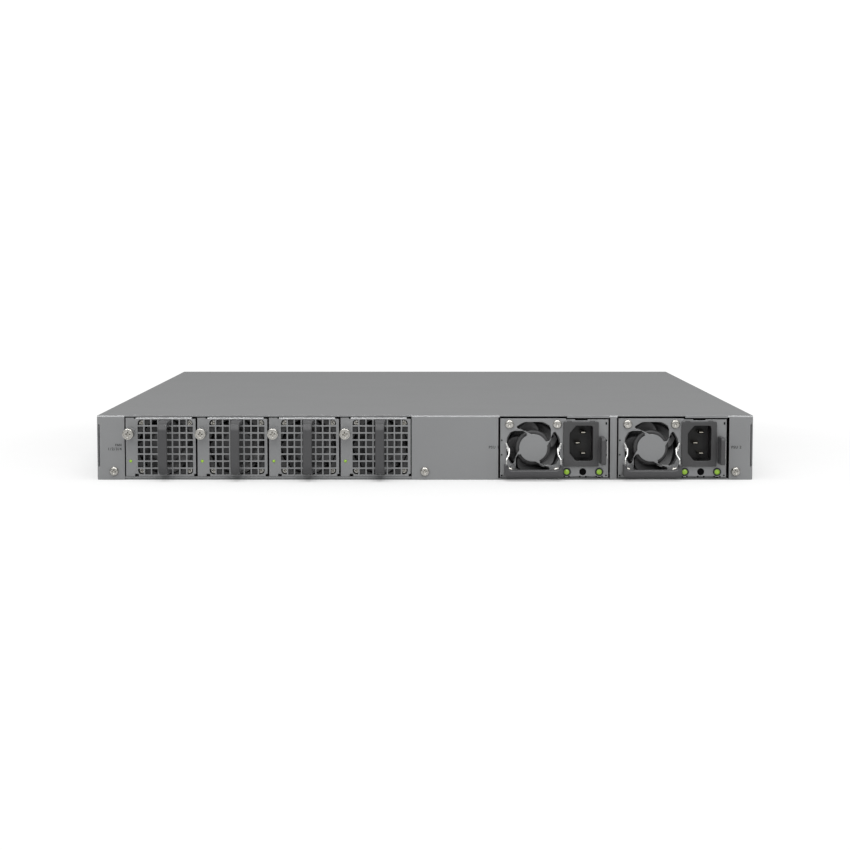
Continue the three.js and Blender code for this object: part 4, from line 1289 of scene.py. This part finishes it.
class SWITCH_OT_jacks(SwitchPiece, bpy.types.Operator):
    """Two-storey network jack for management, with its contact springs"""

    bl_idname = "switch.jacks"
    bl_label = "Management jacks"

    def execute(self, context):
        low, high = box_mm("management_jacks")
        x, mouth, depth = float(low[0] + high[0]) / 2, float(high[1]), 13.0
        sockets, springs, lamps = [], [], []
        for z in JACK_SOCKETS:
            sockets.append(rounded([
                (x - 5.9, z - 2.6), (x - 3.0, z - 2.6), (x - 3.0, z - 4.5), (x + 3.0, z - 4.5),
                (x + 3.0, z - 2.6), (x + 5.9, z - 2.6), (x + 5.9, z + 4.5), (x - 5.9, z + 4.5),
            ], 0.3, 3))
            for index in range(8):
                px = x + (index - 3.5) * 1.02
                path = [(px, mouth - 12.5, z + 1.2), (px, mouth - 4.5, z + 3.8), (px, mouth - 3.6, z + 4.4)]
                springs.append(wire(bent(path, 0.5), 0.2, 6))
            for px in (x - 6.0, x + 6.0):
                lamps.append(block(px - 1.1, px + 1.1, mouth - 1.0, mouth + 0.1, z + 4.9, z + 6.1, 0.2))
        front = plate(rectangle(low[0], high[0], low[2], high[2], 0.4), sockets, mouth - depth, mouth,
                      0.0, 0.3)
        back = block(float(low[0]), float(high[0]), float(low[1]), mouth - depth, float(low[2]),
                     float(high[2]), 0.2)
        piece = build("management_jack_block", joined([front, back]), "chassis",
                      "moulded_pbt")
        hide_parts("management_jacks")
        build("management_jack_springs", joined(springs), "chassis", "gold_plate")
        build("management_jack_lights", joined(lamps), "chassis", "clear_lens")
        return {"FINISHED"}


# ---- Sides and inside ------------------------------------------------------------------------------

SIDE_SCREWS = ((-236.0, 33.5), (-90.0, 33.5), (90.0, 33.5), (236.0, 33.5))      # y and z on each side wall
EAR_NUTS = ((196.0, 12.0), (196.0, 26.0), (222.0, 12.0), (222.0, 26.0), (-150.0, 19.0), (-196.0, 19.0))


def on_sides(part, y, z):
    """A part made round an axis along Y, its face towards -Y, turned to face out of both side walls."""
    points, faces = part
    out = np.column_stack([HALF - points[:, 1], y + points[:, 0], z + points[:, 2]])
    return [(out, faces), mirrored((out, faces), 0)]


class SWITCH_OT_side_screws(SwitchPiece, bpy.types.Operator):
    """Countersunk screws that hold the cover to the side walls, and the nuts for rack ears and rails, with
    painted shade in the nuts' bores
    """

    bl_idname = "switch.side_screws"
    bl_label = "Side screws"

    def execute(self, context):
        heads = []
        for y, z in SIDE_SCREWS:
            profile = dome(-0.35, 0.3, 2.6) + [(2.7, 0.02), (1.4, 1.2), (1.4, 2.8), (0, 2.8)]
            heads += on_sides(screw(profile, 0, 0, 1.5, 0.34, 0.8, y), y, z)
        build("side_screws", joined(heads), "chassis", "nickel_plate")
        nuts, bores = [], []
        nut = ring([(1.7, 2.0), (1.7, 0.0), (1.9, -0.12), (2.9, -0.12), (3.05, 0.0), (3.05, 2.0), (1.7, 2.0)],
                   0, 0, 32)
        # A near-black disc in each nut's hole: painted shade in the bore.
        bore = turned([(0, -0.02), (1.68, -0.02), (1.68, 0.5), (0, 0.5)], 0, 0, 24)
        for y, z in EAR_NUTS:
            nuts += on_sides(nut, y, z)
            bores += on_sides(bore, y, z)
        build("side_nuts", joined(nuts), "chassis", "nickel_plate")
        build("side_nut_bore_shade", joined(bores), "chassis", "painted_shade_black")
        return {"FINISHED"}


class SWITCH_OT_inside(SwitchPiece, bpy.types.Operator):
    """Finishes of the boards and the heat sink inside"""

    bl_idname = "switch.inside"
    bl_label = "Inside finishes"

    def execute(self, context):
        coat("main_board", "solder_mask")
        coat("fan_backplane", "solder_mask")
        coat("switch_heat_sink", "extruded_aluminium")
        return {"FINISHED"}


# ---- Stage -----------------------------------------------------------------------------------------

CAMERA_DISTANCE = 1.6256         # metres behind the middle of the switch
CAMERA_HEIGHT = 0.1545
CAMERA_TILT = 4.875              # degrees below level
FOCAL_LENGTH = 86.7
SENSOR_WIDTH = 36.0
ROOM_LOW = 0.15                  # light from the walls at floor level, and from 30 degrees up
ROOM_HIGH = 0.6
FLOOR_REACH = 30.0               # metres each way


def area_light(name, size, place, aim, power):
    """A rectangular lamp that looks from its place at its aim, in metres and watts."""
    lamp = bpy.data.lights.new(name, "AREA")
    lamp.shape = "RECTANGLE"
    lamp.size, lamp.size_y = size
    lamp.energy = power
    holder = bpy.data.objects.new(name, lamp)
    holder.location = place
    holder.rotation_euler = (Vector(aim) - Vector(place)).to_track_quat("-Z", "Y").to_euler()
    bpy.context.scene.collection.objects.link(holder)
    return holder


class SWITCH_OT_stage(SwitchPiece, bpy.types.Operator):
    """White floor, soft white surroundings, overhead strip light and the camera"""

    bl_idname = "switch.stage"
    bl_label = "Floor, light and camera"

    def light_room(self, tree):
        """A white room whose walls give less light near the floor than overhead. The camera sees it white."""
        way = add_node(tree, "ShaderNodeTexCoord").outputs["Generated"]
        height = add_node(tree, "ShaderNodeSeparateXYZ", {0: way}).outputs["Z"]
        walls = add_node(tree, "ShaderNodeMapRange", {"Value": height},
                         {"From Max": 0.5, "To Min": ROOM_LOW, "To Max": ROOM_HIGH}).outputs[0]
        seen = add_node(tree, "ShaderNodeLightPath").outputs["Is Camera Ray"]
        strength = add_node(tree, "ShaderNodeMix", {0: seen, 2: walls}, {3: 1.1}).outputs[0]
        room = tree.nodes["Background"]
        room.inputs["Color"].default_value = (1.0, 1.0, 1.0, 1.0)
        tree.links.new(strength, room.inputs["Strength"])

    def execute(self, context):
        scene = context.scene
        mesh = bpy.data.meshes.new("floor")
        corners = [(-1, -1, 0), (1, -1, 0), (1, 1, 0), (-1, 1, 0)]
        mesh.from_pydata([(FLOOR_REACH * x, FLOOR_REACH * y, z) for x, y, z in corners], [], [(0, 1, 2, 3)])
        floor = bpy.data.objects.new("floor", mesh)
        scene.collection.objects.link(floor)
        mesh.materials.append(finish("white_floor"))
        world = bpy.data.worlds.new("white_room")
        world.use_nodes = True
        self.light_room(world.node_tree)
        scene.world = world
        scene.view_settings.view_transform = "Standard"
        area_light("overhead", (2.4, 0.12), (0, -0.39, 1.7), (0, -0.39, 0), 10)
        area_light("front", (4.0, 3.0), (0, -2.6, 2.2), (0, -0.25, 0), 65)
        camera = bpy.data.cameras.new("camera")
        camera.lens = FOCAL_LENGTH
        camera.sensor_width = SENSOR_WIDTH
        holder = bpy.data.objects.new("camera", camera)
        holder.location = (0, -CAMERA_DISTANCE, CAMERA_HEIGHT)
        holder.rotation_euler = (math.radians(90 - CAMERA_TILT), 0, 0)
        scene.collection.objects.link(holder)
        scene.camera = holder
        return {"FINISHED"}


# ---- Add-on ----------------------------------------------------------------------------------------

OPERATORS = (
    SWITCH_OT_cover, SWITCH_OT_tray, SWITCH_OT_rear_panels, SWITCH_OT_panel_screws, SWITCH_OT_labels,
    SWITCH_OT_fan_plates, SWITCH_OT_fan_frames, SWITCH_OT_fan_rotors, SWITCH_OT_fan_handles,
    SWITCH_OT_thumb_screws, SWITCH_OT_fan_lights, SWITCH_OT_psu_plates, SWITCH_OT_psu_fans, SWITCH_OT_inlets,
    SWITCH_OT_bail_handles, SWITCH_OT_latches, SWITCH_OT_psu_trim, SWITCH_OT_port_panel, SWITCH_OT_cages,
    SWITCH_OT_jacks, SWITCH_OT_side_screws, SWITCH_OT_inside, SWITCH_OT_stage,
)


class SWITCH_PT_panel(bpy.types.Panel):
    """Sizes, colours and the pieces of the switch"""

    bl_idname = "SWITCH_PT_panel"
    bl_label = "Network switch"
    bl_space_type = "VIEW_3D"
    bl_region_type = "UI"
    bl_category = "Switch"

    def draw(self, context):
        settings = context.scene.network_switch
        for name in SwitchLook.__annotations__:
            self.layout.prop(settings, name)
        for operator in OPERATORS:
            self.layout.operator(operator.bl_idname)


CLASSES = (SwitchLook, *OPERATORS, SWITCH_PT_panel)


def register():
    """Registers the classes and gives each scene its settings."""
    for cls in CLASSES:
        bpy.utils.register_class(cls)
    bpy.types.Scene.network_switch = PointerProperty(type=SwitchLook)


def unregister():
    """Takes back what register did."""
    del bpy.types.Scene.network_switch
    for cls in reversed(CLASSES):
        bpy.utils.unregister_class(cls)


def main():
    """Builds every piece and the stage."""
    register()
    for operator in OPERATORS:
        group, name = operator.bl_idname.split(".")
        getattr(getattr(bpy.ops, group), name)()


if __name__ == "__main__":
    main()
